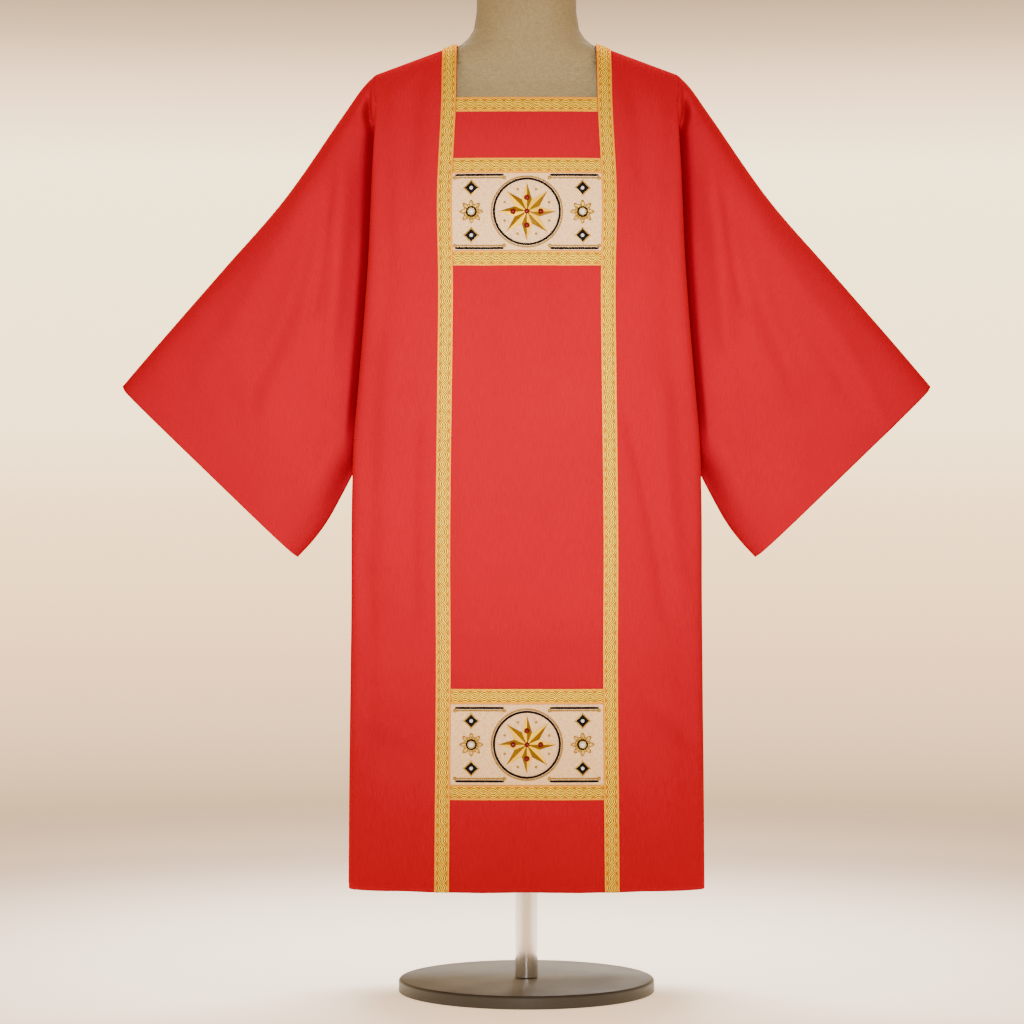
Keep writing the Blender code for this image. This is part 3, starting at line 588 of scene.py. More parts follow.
def side_path(row, side, steps, mirror):
    """Points (rows, steps + 1, 3) from the last flat column around the side edge and back to the
    seam. Near the shoulder the path stays open, and it folds as the height falls."""
    z = level_at(SHOULDER_TIP, row, side)
    depth = DEPTHS[side]
    edge = graph(z, EDGE_HEIGHTS, EDGE_HALF_WIDTHS)
    start = edge - EDGE_START
    start_depth = hang_depth(start, z, depth)
    seam, seam_depth = armhole_seam(z)
    reach = edge - seam
    turn_depth = EDGE_TURN_DEPTH * depth / FRONT_DEPTH
    places = (
        (start, start_depth),
        (edge - 0.007, mix(start_depth, turn_depth, 0.35)),
        (edge, turn_depth + 0.0 * z),
        (edge - 0.25 * reach, mix(turn_depth, seam_depth, 0.48)),
        (edge - 0.66 * reach, mix(turn_depth, seam_depth, 0.66)),
        (edge - 0.95 * reach, mix(turn_depth, seam_depth, 0.80)),
        (seam, seam_depth),
    )
    knots = np.stack([np.stack([x, y, z], axis=-1) for x, y in places], axis=-2)
    share = np.linspace(0.0, 1.0, steps + 1)
    folded = through(knots, share * (len(places) - 1))
    turn_share = 2.0 / (len(places) - 1)
    to_edge = np.clip(share / turn_share, 0.0, 1.0)
    to_tip = np.clip((share - turn_share) / (1.0 - turn_share), 0.0, 1.0)
    open_x = start[:, None] + EDGE_START * to_edge + (SHOULDER_TIP - edge)[:, None] * to_tip
    open_z = np.where(row[:, None] < 1.0, level_at(open_x, row[:, None], side), z[:, None])
    opened = np.stack([open_x, hang_depth(open_x, open_z, depth), open_z], axis=-1)
    path = mix(opened, folded, soft_step((FOLD_TOP - z) / (FOLD_TOP - FOLD_FULL))[:, None, None])
    path[..., 2] = open_z
    x, z = path[..., 0], path[..., 2]
    lift = creases(mirror * x, z, PANEL_CREASES[side]) * soft_step((ridge(x) - z) / CREASE_FADE)
    path[..., 1] += lift * (1.0 - soft_step(share / turn_share))
    return path


def panel_rows(side):
    """Row numbers of a panel, with one on the underarm, close together where the cloth bends."""
    neck_top = NECK_TOPS[side]
    underarm_row = 1.0 + (neck_top - UNDERARM) / (neck_top - HEM)
    upper = mix(1.0, underarm_row, 1.0 - (1.0 - np.linspace(0.0, 1.0, 93)) ** 1.25)
    lower = np.linspace(underarm_row, 2.0, 103)
    return np.concatenate([np.linspace(0.0, 1.0, NECK_ROWS + 1), upper[1:], lower[1:]])


def panel_points(side):
    """Points (rows, columns, 3) of the front or the back, from one seam to the other."""
    row = panel_rows(side)
    tip = level_at(SHOULDER_TIP, row, side)
    middle = graph(tip, GALLOON_HEIGHTS, GALLOON_MIDDLES)[:, None]
    start = (graph(tip, EDGE_HEIGHTS, EDGE_HALF_WIDTHS) - EDGE_START)[:, None]
    inner, outer = middle - GALLOON_HALF_WIDTH, middle + GALLOON_HALF_WIDTH
    flat_x = np.concatenate([
        inner * np.linspace(0.0, 1.0, NECK_COLUMNS + 1)[:-1],
        mix(inner, outer, np.linspace(0.0, 1.0, 5)[:-1]),
        mix(outer, start, np.linspace(0.0, 1.0, 17)[:-1]),
    ], axis=1)
    halves = []
    for mirror in (-1.0, 1.0):
        flat = hung(mirror * flat_x, level_at(flat_x, row[:, None], side), side)
        path = side_path(row, side, 34, mirror)
        path[..., 0] *= mirror
        path[..., 1] *= side
        half = np.concatenate([flat, path], axis=1)
        half[:, -1] = trimmed(half[:, -1], half[:, -2], SEAM_HALF_GAP)
        half[0] = trimmed(half[0], half[1], SEAM_HALF_GAP)
        halves.append(half)
    return np.concatenate([halves[0][:, :0:-1], halves[1]], axis=1)


def cloth(name, mesh, look, replaced, thickness):
    """A piece of cloth: its middle surface with a wall on both sides."""
    made = piece(mesh, look, replaced)
    wall = made.modifiers.new("wall", "SOLIDIFY")
    wall.thickness = thickness
    wall.offset = 0.0
    return made


# Red satin twill: smooth floats give a soft red sheen and no glints. Its twill lines, 0.5 mm apart,
# are drawn 1.2 mm apart and broken, and the dye varies a little.
satin, tree, shader = finish("red satin twill", {
    "Specular IOR Level": 0.0, "Sheen Weight": 0.12, "Sheen Roughness": 0.4,
    "Sheen Tint": linear("#FF1408")})
uv = on_cloth(tree)
twill = noise(tree, uv, (820.0, 70.0, 1.0), 2.0, turn=math.radians(62.0))
slub = noise(tree, uv, (1400.0, 40.0, 1.0), 1.0)
threads = calc(tree, "ADD", twill, slub)
dye = blend(tree, noise(tree, on_object(tree), 6.0, 3.0), "#8E0519", "#9A071B")
shade = between(tree, threads, 0.6, 1.4, 0.90, 1.08)
surface(tree, shader, toned(tree, dye, shade), threads, 0.25, 0.0003)

panels = {}
for side, name, replaced, length in ((-1, "front_satin", "body_front", 1.22),
                                     (+1, "back_satin", "body_back", 1.20)):
    points = panel_points(side)
    panels[side] = points
    centre = points.shape[1] // 2
    neck = np.zeros((points.shape[0] - 1, points.shape[1] - 1), dtype=bool)
    neck[:NECK_ROWS, centre - NECK_COLUMNS : centre + NECK_COLUMNS] = True
    made = cloth(name, grid_mesh(name, points, gone=neck), satin, replaced, WALL)


# Sleeves
# Each is one wide piece of the satin, sewn into a tube along its underside and into the armhole,
# and open at the cuff. It is stretched between the armhole seam, the cuff and its outline.

ARMHOLE_GAP = 0.0010
SLEEVE_TOP = np.array([
    (SHOULDER_TIP, 1.2892), (0.232, 1.269), (0.2615, 1.227), (0.3405, 1.114), (0.4265, 1.015),
    (0.5125, 0.9165), (0.5703, 0.8488)])
SLEEVE_UNDER = np.array([
    (0.226, UNDERARM), (0.2340, 0.7425), (0.2415, 0.7320), (0.2573, 0.7022), (0.2798, 0.6627),
    (0.3010, 0.6345), (0.3236, 0.6106)])
SLEEVE_TURN = 0.012
CORNER_STEP = 0.0022
CUFF_HALF_DEPTH = 0.040
CORNER_CUT = 0.007
CORNER_SPREAD = 0.018
SLEEVE_BULGE = 0.008
VALLEY_DEPTH = 0.046
LIP_WIDTH = 0.0065
LIP_FOOT = 1.206
SLEEVE_CREASES = {
    # (mirror, side): rows as for the panels, with x measured outwards
    (-1, -1): (
        (0.258, 1.13, 0.276, 0.90, 0.013, 0.0070, 0.003),
        (0.275, 1.12, 0.297, 0.96, 0.007, -0.0044, 0.002),
        (0.300, 1.08, 0.376, 0.86, 0.017, -0.0092, 0.008),
        (0.340, 1.06, 0.430, 0.90, 0.020, 0.0060, 0.004),
        (0.430, 0.93, 0.384, 0.80, 0.018, -0.0058, 0.006),
        (0.282, 0.88, 0.306, 0.74, 0.018, -0.0060, 0.004),
        (0.490, 0.88, 0.452, 0.80, 0.017, -0.0044, 0.0),
    ),
    (+1, -1): (
        (0.259, 1.12, 0.278, 0.92, 0.013, 0.0068, -0.002),
        (0.277, 1.11, 0.300, 0.97, 0.007, -0.0042, 0.002),
        (0.303, 1.07, 0.370, 0.87, 0.017, -0.0088, 0.007),
        (0.345, 1.05, 0.436, 0.92, 0.020, 0.0056, 0.003),
        (0.405, 0.92, 0.440, 0.86, 0.015, -0.0056, 0.0),
        (0.462, 0.87, 0.488, 0.82, 0.014, 0.0046, 0.0),
        (0.420, 0.86, 0.380, 0.76, 0.020, 0.0052, 0.006),
        (0.280, 0.87, 0.308, 0.73, 0.018, -0.0058, 0.004),
    ),
    (-1, +1): (
        (0.270, 1.12, 0.276, 0.95, 0.013, 0.0046, 0.003),
        (0.330, 1.06, 0.380, 0.80, 0.032, -0.0064, -0.008),
        (0.430, 0.92, 0.390, 0.74, 0.028, 0.0040, 0.0),
        (0.280, 0.88, 0.306, 0.70, 0.020, -0.0034, 0.0),
    ),
    (+1, +1): (
        (0.272, 1.10, 0.278, 0.94, 0.013, 0.0046, -0.003),
        (0.326, 1.07, 0.372, 0.82, 0.032, -0.0064, 0.008),
        (0.440, 0.90, 0.396, 0.72, 0.028, 0.0040, 0.0),
        (0.276, 0.86, 0.300, 0.70, 0.020, -0.0034, 0.0),
    ),
}


def spaced(knots, shares):
    """Points on a smooth curve through the knots, at shares of its length."""
    lengths = np.linalg.norm(np.diff(knots, axis=0), axis=1)
    passed = np.concatenate([[0.0], np.cumsum(lengths)]) / lengths.sum()
    places = np.interp(shares, passed, np.arange(len(knots)))
    return through(knots, places.ravel()).reshape(*shares.shape, knots.shape[-1])


def sleeve_half(seam, mirror, side):
    """Half of a sleeve, (points of the armhole seam, stations, 3): blended between its four border
    lines as seen from the front, with a lens-shaped depth, the fold's second turn and creases."""
    steps = np.linalg.norm(np.diff(seam, axis=0), axis=1)
    around = np.concatenate([[0.0], np.cumsum(steps)]) / steps.sum()
    below_shoulder = soft_step((FOLD_TOP - seam[:, 2]) / (FOLD_TOP - FOLD_FULL))
    above_underarm = soft_step((seam[:, 2] - UNDERARM) / UNDERARM_RISE)
    fold = np.sqrt(below_shoulder * above_underarm)[:, None]
    seam = seam + CORNER_STEP * (1.0 - above_underarm)[:, None] * np.array([1.0, 0.0, 0.0])
    v, s = around[:, None], (np.linspace(0.0, 1.0, 96) ** 1.4)[None, :]
    along = s * mix(1.0, soft_step(s / 0.06), fold)
    corner = np.exp(-((v / CORNER_SPREAD) ** 2)) + np.exp(-(((1.0 - v) / CORNER_SPREAD) ** 2))
    along = along * (1.0 - CORNER_CUT * corner * soft_step((s - 0.8) / 0.2))
    down, out = v[..., None], along[..., None]
    cuff = mix(SLEEVE_TOP[-1], SLEEVE_UNDER[-1], down)
    corners = mix(mix(SLEEVE_TOP[0], SLEEVE_UNDER[0], down), cuff, out)
    outline = mix(spaced(SLEEVE_TOP, along), spaced(SLEEVE_UNDER, along), down)
    xz = outline + mix(seam[:, None, ::2], cuff, out) - corners
    lens = np.maximum(1.0 - np.abs(2.0 * v - 1.0) ** 4.4, 0.0) ** 0.55
    turn = soft_step(s / 0.030) * (1.0 - soft_step((s - 0.06) / 0.30)) * SLEEVE_TURN * fold
    x, z = xz[..., 0], xz[..., 1]
    beyond = x - graph(z, EDGE_HEIGHTS, EDGE_HALF_WIDTHS)
    aside = beyond - LIP_WIDTH * soft_step((z - LIP_FOOT) / 0.030)
    tongue = soft_step((z - LIP_FOOT) / 0.008)
    valley = mix(soft_step((beyond + 0.050) / 0.040), soft_step(aside / 0.0035), tongue)
    valley = valley * (1.0 - 0.8 * soft_step((aside - 0.001) / 0.016) - 0.2 * soft_step(aside / 0.050))
    valley = valley * soft_step((FOLD_TOP + 0.010 - z) / 0.055) * soft_step((z - UNDERARM) / 0.09)
    depth = mix(np.abs(seam[:, 1])[:, None], CUFF_HALF_DEPTH * lens, soft_step(s))
    depth = depth + SLEEVE_BULGE * np.sin(math.pi * s) * lens - turn
    depth = depth + creases(x, z, SLEEVE_CREASES[mirror, side]) * lens**2 * soft_step((s - 0.02) / 0.10)
    depth = np.maximum(depth, 0.0)
    depth = depth - np.minimum(VALLEY_DEPTH * valley * soft_step(s / 0.03), 0.88 * depth)
    return np.stack([x, side * depth, z], axis=-1)


def sleeve_points(mirror):
    """Points (around, stations, 3) of a whole sleeve, front and back joined at its two edges."""
    halves = []
    for side in (-1, +1):
        seam = panels[side][:, -1 if mirror > 0 else 0].copy()
        seam = seam[: 1 + np.argmin(np.abs(seam[:, 2] - UNDERARM))]
        seam[:, 0] = np.abs(seam[:, 0])
        halves.append(sleeve_half(seam, mirror, side))
    tube = np.concatenate([halves[0], halves[1][-2:0:-1]])
    for line in (0, len(halves[0]) - 1):
        tube[line, :, 1] = 0.0
    tube[:, 0] = trimmed(tube[:, 0], tube[:, 1], ARMHOLE_GAP)
    tube[..., 0] *= mirror
    return tube


for mirror, name, replaced in ((+1, "left_sleeve_satin", "sleeve_left"),
                               (-1, "right_sleeve_satin", "sleeve_right")):
    mesh = grid_mesh(name, sleeve_points(mirror), around=True)
    made = cloth(name, mesh, satin, replaced, WALL)


# Long galloons
# Woven gold braid, 20 mm wide, laid from the front hem over the shoulder to the back hem and sewn
# down along both edges. Two flat strands sway and cross by turns between plain selvedges.

TRIM_GAP = 0.0005
GALLOON_THICKNESS = 0.0012
BRAID_REPEAT = 0.0264
BRAID_RELIEF = 0.0007
BRAID_STEP = 0.0019
STRAND_SWAY = 0.42
STRAND_WIDTH = 0.36
THREAD_PITCH = 0.30
SELVEDGE = 0.80
ACROSS = np.linspace(-1.0, 1.0, 21)


def braid(u, v):
    """Height, 0 to 1, of the braid's face at u, -1 to 1 across it, and v metres along it: two flat
    strands sway as sine waves and cross by turns, a groove, and a plain selvedge at each edge."""
    phase = 2.0 * math.pi * v / BRAID_REPEAT
    sway, over = STRAND_SWAY * np.sin(phase), 0.12 * np.cos(phase)
    first = (0.88 + over) * np.exp(-(((u - sway) / STRAND_WIDTH) ** 4))
    second = (0.88 - over) * np.exp(-(((u + sway) / STRAND_WIDTH) ** 4))
    edge = soft_step((np.abs(u) - SELVEDGE) / 0.06) * (1.0 - soft_step((np.abs(u) - 0.94) / 0.06))
    return np.maximum(np.maximum(first, second), 0.25 + 0.45 * edge)


def slab_mesh(name, outer, inner):
    """A closed mesh between two grids of points, with a rim halfway between their borders."""
    middle = 0.5 * (outer + inner)
    faces = [np.concatenate([middle[:, :1], face, middle[:, -1:]], axis=1) for face in (outer, inner)]
    return close_up(grid_mesh(name, np.concatenate([faces[0], faces[1][::-1]]), around=True), sharp=60.0)


def outward(points, side):
    """Unit normals of a grid of points that face the side they are on."""
    normals = unit(np.cross(np.gradient(points, axis=1), np.gradient(points, axis=0)))
    return normals * np.sign(side * normals[len(normals) // 2, normals.shape[1] // 2, 1])


def galloon_line(mirror):
    """The galloon's way as (side, row number) pairs, evenly spaced along it from the front hem to
    the back hem."""
    row = np.linspace(2.0, 0.0, 4000)
    signed = np.concatenate([row, -row[-2::-1]])
    path = galloon_points(signed, np.zeros(1), mirror)[:, 0]
    passed = np.concatenate([[0.0], np.cumsum(np.linalg.norm(np.diff(path, axis=0), axis=1))])
    lengths = np.linspace(0.0, passed[-1], int(passed[-1] / BRAID_STEP))
    return np.interp(lengths, passed, signed), lengths


def galloon_points(signed, u, mirror):
    """Points of the panels under a long galloon at signed row numbers, in front where positive, and
    at u, -1 to 1 across it."""
    strips = []
    for side, row in ((-1, np.maximum(signed, 0.0)), (+1, np.maximum(-signed, 0.0))):
        tip = level_at(SHOULDER_TIP, row, side)
        x = graph(tip, GALLOON_HEIGHTS, GALLOON_MIDDLES)[:, None] + GALLOON_HALF_WIDTH * u
        strips.append(hung(mirror * x, level_at(x, row[:, None], side), side))
    return np.where((signed > 0.0)[:, None, None], strips[0], strips[1])


# Woven gold braid: metal-wrapped thread, orange gold on the selvedges and light yellow on the
# strands, whose threads, 1 mm apart, are drawn 3 mm apart, with painted highlights on their crests and
# painted shade in the brown gaps between them. The ground between the strands is darkened with
# painted shade.
gold, tree, shader = finish("woven gold braid", {
    "Metallic": 0.2, "Roughness": 0.5, "Specular IOR Level": 0.0, "Specular Tint": linear("#FFB000")})
uv = on_cloth(tree)
flat = node(tree, "SeparateXYZ", {0: uv}).outputs
across = calc(tree, "DIVIDE", flat["X"], GALLOON_HALF_WIDTH)
phase = calc(tree, "MULTIPLY", flat["Y"], 2.0 * math.pi / BRAID_REPEAT)
sway = calc(tree, "MULTIPLY", calc(tree, "SINE", phase), STRAND_SWAY)
turn = calc(tree, "COSINE", phase)
inside, over, threads = [], [], []
for sign in (1.0, -1.0):
    offset = calc(tree, "MULTIPLY_ADD", sway, -sign, across)
    distance = calc(tree, "ABSOLUTE", offset)
    inside.append(between(tree, distance, STRAND_WIDTH + 0.04, STRAND_WIDTH - 0.04))
    over.append(between(tree, turn, -0.2 * sign, 0.2 * sign))
    # Painted highlight on each thread's crest and painted shade in the gap beside it.
    ripple = calc(tree, "COSINE", calc(tree, "MULTIPLY", offset, 2.0 * math.pi / THREAD_PITCH))
    threads.append(between(tree, ripple, -0.8, 0.6))
shown = [calc(tree, "MULTIPLY", inside[i], calc(tree, "MAXIMUM", over[i],
                                                calc(tree, "SUBTRACT", 1.0, inside[1 - i])))
         for i in (0, 1)]
lit = calc(tree, "MULTIPLY_ADD", shown[0], threads[0], calc(tree, "MULTIPLY", shown[1], threads[1]))
covered = calc(tree, "ADD", *shown)
# Painted shade: the ground between the strands is darker than the selvedges.
edge = between(tree, calc(tree, "ABSOLUTE", across), SELVEDGE - 0.06, SELVEDGE + 0.02)
plain = blend(tree, edge, "#966404", "#CA8804")
metal = blend(tree, covered, plain, blend(tree, lit, "#563802", "#FCCC1E"))
wrap = noise(tree, uv, (700.0, 330.0, 1.0), 2.0)
shine = between(tree, wrap, 0.3, 0.7, 0.86, 1.10)
height = calc(tree, "MULTIPLY_ADD", wrap, 0.5, lit)
surface(tree, shader, toned(tree, metal, shine), height, 1.0, 0.0008)


def galloon(name, ground, normals, along, replaced):
    """A galloon on a grid of the cloth's points, with its braid raised on the outer face."""
    height = braid(ACROSS[None, :], along[:, None])
    inner = ground + normals * (0.5 * WALL + TRIM_GAP)
    outer = inner + normals * (GALLOON_THICKNESS + BRAID_RELIEF * (height - 0.5))[..., None]
    made = piece(slab_mesh(name, outer, inner), gold, replaced)


for mirror, name, replaced in ((+1, "left_galloon_braid", "galloon_left"),
                               (-1, "right_galloon_braid", "galloon_right")):
    signed, lengths = galloon_line(mirror)
    ground = galloon_points(signed, ACROSS, mirror)
    normals = unit(np.cross(np.gradient(ground, axis=1), np.gradient(ground, axis=0)))
    normals = normals * -np.sign(normals[:1, :1, 1:2])
    galloon(name, ground, normals, lengths, replaced)


# Level galloons
# Six lengths of the same braid, laid between the long ones: one along each edge of the neck, and
# one above and below each embroidered ground.

TRIM_INSET = 0.0005
LEVEL_BARS = (
    # name, node, side, top, foot
    ("front_neck_braid", "galloon_neck_front", -1, 1.2456, 1.2250),
    ("back_neck_braid", "galloon_neck_back", +1, 1.275, 1.253),
    ("upper_top_braid", "galloon_upper_top", -1, 1.1594, 1.1388),
    ("upper_foot_braid", "galloon_upper_bottom", -1, 1.0318, 1.0116),
    ("lower_top_braid", "galloon_lower_top", -1, 0.4318, 0.4113),
    ("lower_foot_braid", "galloon_lower_bottom", -1, 0.3002, 0.2798),
)

for name, replaced, side, top, foot in LEVEL_BARS:
    z = mix(top, foot, 0.5 * (ACROSS + 1.0))[None, :]
    inner_x = graph(z, GALLOON_HEIGHTS, GALLOON_MIDDLES) - GALLOON_HALF_WIDTH - TRIM_INSET
    x = inner_x * np.linspace(-1.0, 1.0, 109)[:, None]
    ground = hung(x, z + 0.0 * x, side)
    along = x[:, len(ACROSS) // 2] - x[0, len(ACROSS) // 2]
    galloon(name, ground, outward(ground, side), along, replaced)


# Embroidered grounds
# Two pieces of pinkish beige linen, laid between the galloons, that carry the embroidery.

GROUND_THICKNESS = 0.0010
GROUNDS = (
    # name, node, top, foot
    ("upper", "panel_upper", 1.1388, 1.0318),
    ("lower", "panel_lower", 0.4113, 0.3002),
)

# Linen: uneven threads both ways, 0.5 mm apart and drawn at 1.3 mm, matt, pink and beige flecks.
linen, tree, shader = finish("pinkish beige linen", {"Roughness": 0.82, "Sheen Weight": 0.15})
uv = on_cloth(tree)
warp = noise(tree, uv, (760.0, 190.0, 1.0), 2.0)
weft = noise(tree, uv, (190.0, 760.0, 1.0), 2.0)
weave = calc(tree, "ADD", warp, weft)
yarn = blend(tree, between(tree, weave, 0.7, 1.3), "#BE9260", "#E6C08E")
surface(tree, shader, yarn, weave, 0.5, 0.0005)


def raised(x, z, lift):
    """Points lift above the embroidered ground's face at x and z."""
    step = 0.0005
    across = hung(x + step, z, -1) - hung(x - step, z, -1)
    up = hung(x, z + step, -1) - hung(x, z - step, -1)
    normals = unit(np.cross(across, up))
    face = 0.5 * WALL + TRIM_GAP + GROUND_THICKNESS
    return hung(x, z, -1) + normals * (face + lift)[..., None]


for name, replaced, top, foot in GROUNDS:
    z = np.linspace(top - TRIM_INSET, foot + TRIM_INSET, 30)[:, None]
    side_x = graph(z, GALLOON_HEIGHTS, GALLOON_MIDDLES) - GALLOON_HALF_WIDTH - TRIM_INSET
    x = side_x * np.linspace(-1.0, 1.0, 56)[None, :]
    z = z + 0.0 * x
    mesh = slab_mesh(name + "_linen", raised(x, z, 0.0 * x), raised(x, z, 0.0 * x - GROUND_THICKNESS))
    made = piece(mesh, linen, replaced)


# Embroidery
# A generic star in padded satin stitch with glass stones, inside a beaded ring, between rosettes and
# small black blossoms with pearls, and cords along the edges. All of it is sewn down on the linen.

STAR_TIP = 0.040
STAR_NOTCH = 0.0185
STAR_RAYS = 8
RING_CORD = 0.0450
RING_BEADS = 0.0485
FLANK = 0.0760
BLOSSOM_HEIGHT = 0.0325
EDGE_BEADS = 0.0465
EDGE_CORD = 0.0502
LINE_START = 0.0310
LINE_END = 0.0985
SUNK = 0.0004


def circle(count, radius):
    """Points (count, 2) of a circle about the origin."""
    angle = np.linspace(0.0, 2.0 * math.pi, count, endpoint=False)
    return radius * np.stack([np.cos(angle), np.sin(angle)], axis=-1)


def mounds(places, outline, rings, middle):
    """Points (places, around, rings, 3) of a motif set at each place on the ground. Its outline is
    shrunk by each ring's share and lifted by the ring's height, over a flat underside."""
    rings = [*rings, (1.0, -SUNK), (0.0, -SUNK)]
    share = np.array([ring[0] for ring in rings])
    lift = np.stack([np.broadcast_to(ring[1], len(outline)) for ring in rings], axis=-1)
    places = np.array(places)[:, None, None]
    x = places[..., 0] + outline[:, :1] * share
    z = middle + places[..., 1] + outline[:, 1:] * share
    return raised(x, z, lift)


def domes(places, radius, height, middle, count=12):
    """Round beads or stones: circles whose rings rise as a half circle does."""
    angle = np.radians((90.0, 62.0, 36.0, 14.0, 0.0))
    return mounds(places, circle(count, radius), list(zip(np.cos(angle), height * np.sin(angle))), middle)


def cord(path, size, middle, closed):
    """Points (1, around, rings, 3) of a round cord along a path (n, 2) on the ground. A closed path
    makes a ring, and an open one is rounded off at its ends."""
    passed = np.linspace(-1.0, 1.0, len(path))
    if closed:
        tangent, radius = unit(np.roll(path, -1, axis=0) - np.roll(path, 1, axis=0)), size + 0.0 * passed
    else:
        tangent, radius = unit(np.gradient(path, axis=0)), size * np.sqrt(1.0 - passed**24)
    angle = np.linspace(0.0, 2.0 * math.pi, 11)
    aside = radius[:, None] * np.cos(angle)
    x = path[:, :1] - tangent[:, 1:] * aside
    z = middle + path[:, 1:] + tangent[:, :1] * aside
    points = raised(x, z, size - SUNK + radius[:, None] * np.sin(angle))
    return points[None] if closed else points.transpose(1, 0, 2)[None, :-1]


def joined(name, groups, sharp):
    """One mesh of many closed grids, from arrays of points (pieces, around, rings, 3)."""
    points, faces, count = [], [], 0
    for group in groups:
        numbers = count + np.arange(group[..., 0].size).reshape(group.shape[:3])
        beside = np.roll(numbers, -1, axis=1)
        cells = [numbers[..., :-1], numbers[..., 1:], beside[..., 1:], beside[..., :-1]]
        faces.append(np.stack(cells, axis=-1).reshape(-1, 4))
        points.append(group.reshape(-1, 3))
        count += numbers.size
    mesh = bpy.data.meshes.new(name)
    mesh.from_pydata(np.concatenate(points).tolist(), [], np.concatenate(faces).tolist())
    mesh.shade_smooth()
    return close_up(mesh, sharp)


def line(start, end, step):
    """Points (n, 2) about step apart on a straight line."""
    start, end = np.array(start), np.array(end)
    count = 1 + round(float(np.linalg.norm(end - start)) / step)
    return start + np.linspace(0.0, 1.0, count)[:, None] * (end - start)


# Satin stitch in gold thread: facets of close parallel stitches, 0.35 mm apart and drawn at 1 mm,
# with painted light on one side of each ray and painted shade on the other, as thread catches light
# along its lie.
stitched, tree, shader = finish("gold satin stitch", {
    "Metallic": 0.25, "Roughness": 0.45, "Specular IOR Level": 0.1, "Specular Tint": linear("#FFC030")})
floss = noise(tree, on_cloth(tree), (1000.0, 90.0, 1.0), 1.0)
# Painted light and shade: each facet's colour is light or dark by the facet mark.
facet = node(tree, "Attribute", attribute_name="shade").outputs["Fac"]
facet_colour_painted_light = blend(tree, facet, "#6A4806", "#D8A81C")
shine = between(tree, floss, 0.3, 0.7, 0.80, 1.12)
surface(tree, shader, toned(tree, facet_colour_painted_light, shine), floss, 0.6, 0.0004)

# Gilt beads and coiled gold thread: yellow gold with soft glints and darker wear between them.
gilt, tree, shader = finish("gilt beads and thread", {"Metallic": 0.45, "Roughness": 0.42})
worn = noise(tree, on_object(tree), 420.0, 2.0)
surface(tree, shader, blend(tree, worn, "#5A3C04", "#B88C18"), worn, 0.4, 0.0004)

# Black silk cord: twisted, 3.2 mm thick, near black with a violet cast and a narrow sheen.
silk, tree, shader = finish("black silk cord", {"Roughness": 0.6, "Specular IOR Level": 0.05})
twist = noise(tree, on_object(tree), 900.0, 1.0)
surface(tree, shader, blend(tree, twist, "#040306", "#0D0A14"), twist, 0.4, 0.0003)

# Garnet red glass: foiled behind, so it looks dark and deep with one soft highlight.
garnet, tree, shader = finish("garnet red glass", {"Roughness": 0.2, "Specular IOR Level": 0.2})
cloudy = noise(tree, on_object(tree), 300.0, 1.0)
tree.links.new(blend(tree, cloudy, "#3E0006", "#6C0010"), shader.inputs["Base Color"])

# Imitation pearl: a pale lacquered bead with a soft wide highlight.
pearl, tree, shader = finish("imitation pearl", {"Roughness": 0.22, "Coat Weight": 0.3})
cloudy = noise(tree, on_object(tree), 350.0, 2.0)
tree.links.new(blend(tree, cloudy, "#A8A4A4", "#E8E6EA"), shader.inputs["Base Color"])

steps = np.arange(8 * STAR_RAYS) / 8.0
ray = np.abs(2.0 * np.mod(steps, 1.0) - 1.0)
tip_angle = 2.0 * math.pi * np.round(steps) / STAR_RAYS
notch_angle = 2.0 * math.pi * (np.floor(steps) + 0.5) / STAR_RAYS
star_outline = np.stack([
    mix(STAR_NOTCH * np.cos(notch_angle), STAR_TIP * np.cos(tip_angle), ray),
    mix(STAR_NOTCH * np.sin(notch_angle), STAR_TIP * np.sin(tip_angle), ray),
], axis=-1)
star_rings = [(share, mix(0.0024, mix(0.0004, 0.0012, ray), share))
              for share in (0.0, 0.2, 0.4, 0.6, 0.8, 0.97)] + [(1.0, 0.0001)]
petal_angle = np.linspace(0.0, 2.0 * math.pi, 96, endpoint=False)
petals = circle(96, 0.0165) * (0.82 + 0.18 * np.cos(STAR_RAYS * petal_angle))[:, None]
petal_rings = [(0.0, 0.0005), (0.60, 0.0007), (0.78, 0.0016), (0.92, 0.0012), (1.0, 0.0001)]
quarter = np.linspace(0.0, 2.0 * math.pi, 48, endpoint=False)
blossom = 0.0098 * np.stack([np.sign(np.cos(quarter)) * np.abs(np.cos(quarter)) ** 2.2,
                             np.sign(np.sin(quarter)) * np.abs(np.sin(quarter)) ** 2.2], axis=-1)
flanks = [(side * FLANK, 0.0) for side in (-1, 1)]
blossoms = [(side * FLANK, height) for side in (-1, 1) for height in (-BLOSSOM_HEIGHT, BLOSSOM_HEIGHT)]
rows = [(side, height) for side in (-1, 1) for height in (-1, 1)]

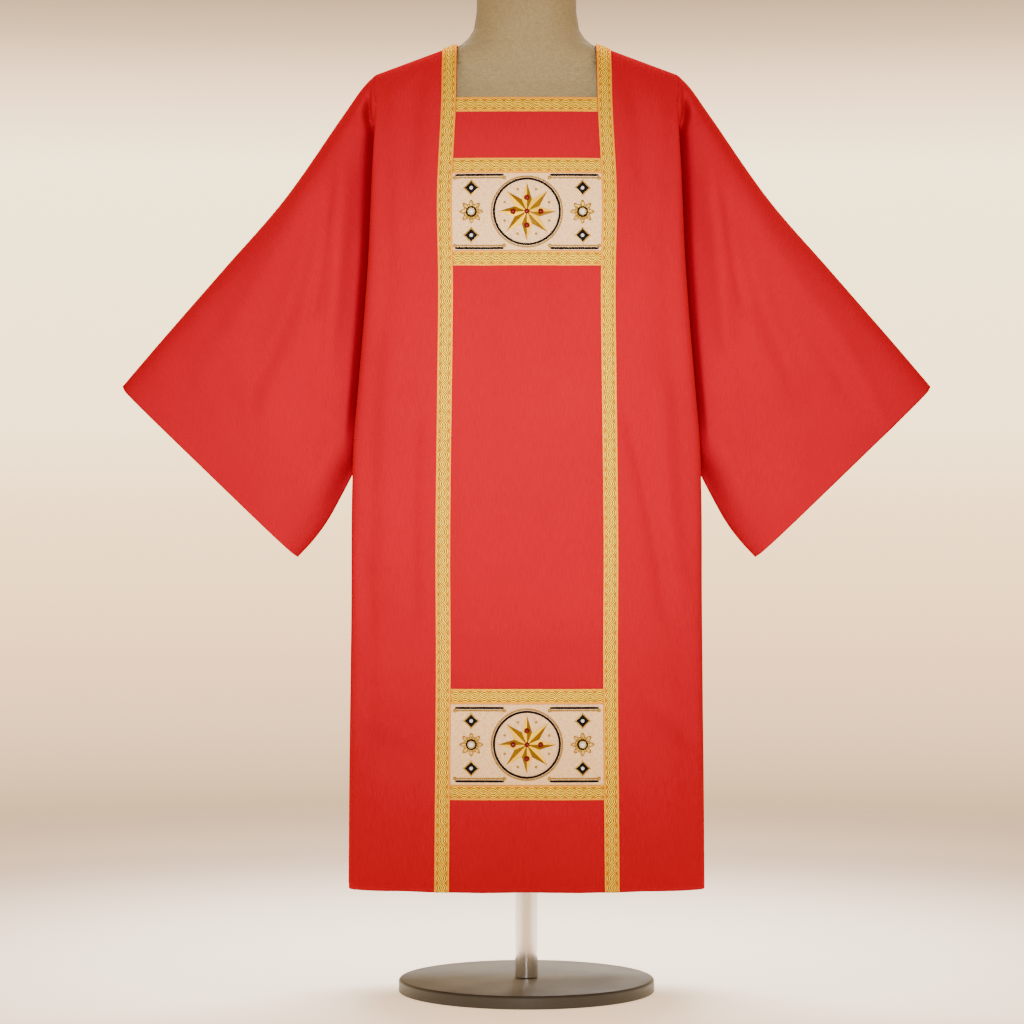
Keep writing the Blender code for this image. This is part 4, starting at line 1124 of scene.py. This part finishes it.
for name, _, top, foot in GROUNDS:
    middle = 0.5 * (top + foot)
    star = close_up(grid_mesh(name + "_star", mounds([(0.0, 0.0)], star_outline, star_rings, middle)[0],
                              around=True), 12.0)
    centres = np.empty(3 * len(star.polygons))
    star.polygons.foreach_get("center", centres)
    bearing = np.arctan2(centres[2::3] - middle, centres[::3])
    # Painted light and shade: facets are marked light or dark by turns about the star.
    painted_facet_light = (np.sin(STAR_RAYS * bearing) > 0.0).astype(float)
    star.attributes.new("shade", "FLOAT", "FACE").data.foreach_set("value", painted_facet_light)
    piece(star, stitched)

    chains = np.concatenate([line((side * LINE_START, height * EDGE_BEADS),
                                  (side * LINE_END, height * EDGE_BEADS), 0.0027)[1:-1]
                             for side, height in rows] + [circle(112, RING_BEADS)])
    ends = [(side * x, height * EDGE_BEADS) for side, height in rows for x in (LINE_START, LINE_END)]
    gold_work = [
        mounds(flanks, petals, petal_rings, middle),
        mounds(blossoms, 1.22 * blossom, [(0.0, 0.0006), (0.8, 0.0006), (1.0, 0.0001)], middle),
        domes(chains, 0.0014, 0.0013, middle, count=8),
        domes(ends, 0.0026, 0.0018, middle),
        domes(circle(8, 0.0330) @ np.array([[math.cos(math.pi / 8), math.sin(math.pi / 8)],
                                            [-math.sin(math.pi / 8), math.cos(math.pi / 8)]]),
              0.0019, 0.0015, middle),
    ]
    piece(joined(name + "_gold_work", gold_work, 50.0), gilt)

    black_work = [
        cord(circle(128, RING_CORD), 0.0016, middle, closed=True),
        mounds(blossoms, blossom, [(0.0, 0.0016), (0.5, 0.0014), (0.85, 0.0010), (1.0, 0.0004)], middle),
    ]
    black_work += [cord(place + circle(48, 0.0064), 0.0012, middle, closed=True) for place in flanks]
    black_work += [cord(line((side * LINE_START, height * EDGE_CORD), (side * LINE_END, height * EDGE_CORD),
                             0.0012), 0.0016, middle, closed=False) for side, height in rows]
    piece(joined(name + "_black_work", black_work, 50.0), silk)

    stone_places = [(0.0, 0.0), (0.0190, 0.0), (-0.0190, 0.0), (0.0, 0.0190), (0.0, -0.0190)]
    stones = joined(name + "_stones", [domes(stone_places, 0.0042, 0.0046, middle, count=20)], 60.0)
    piece(stones, garnet)
    pearls = [
        domes(flanks, 0.0042, 0.0040, middle, count=20),
        domes(blossoms, 0.0027, 0.0036, middle, count=16),
    ]
    piece(joined(name + "_pearls", pearls, 60.0), pearl)
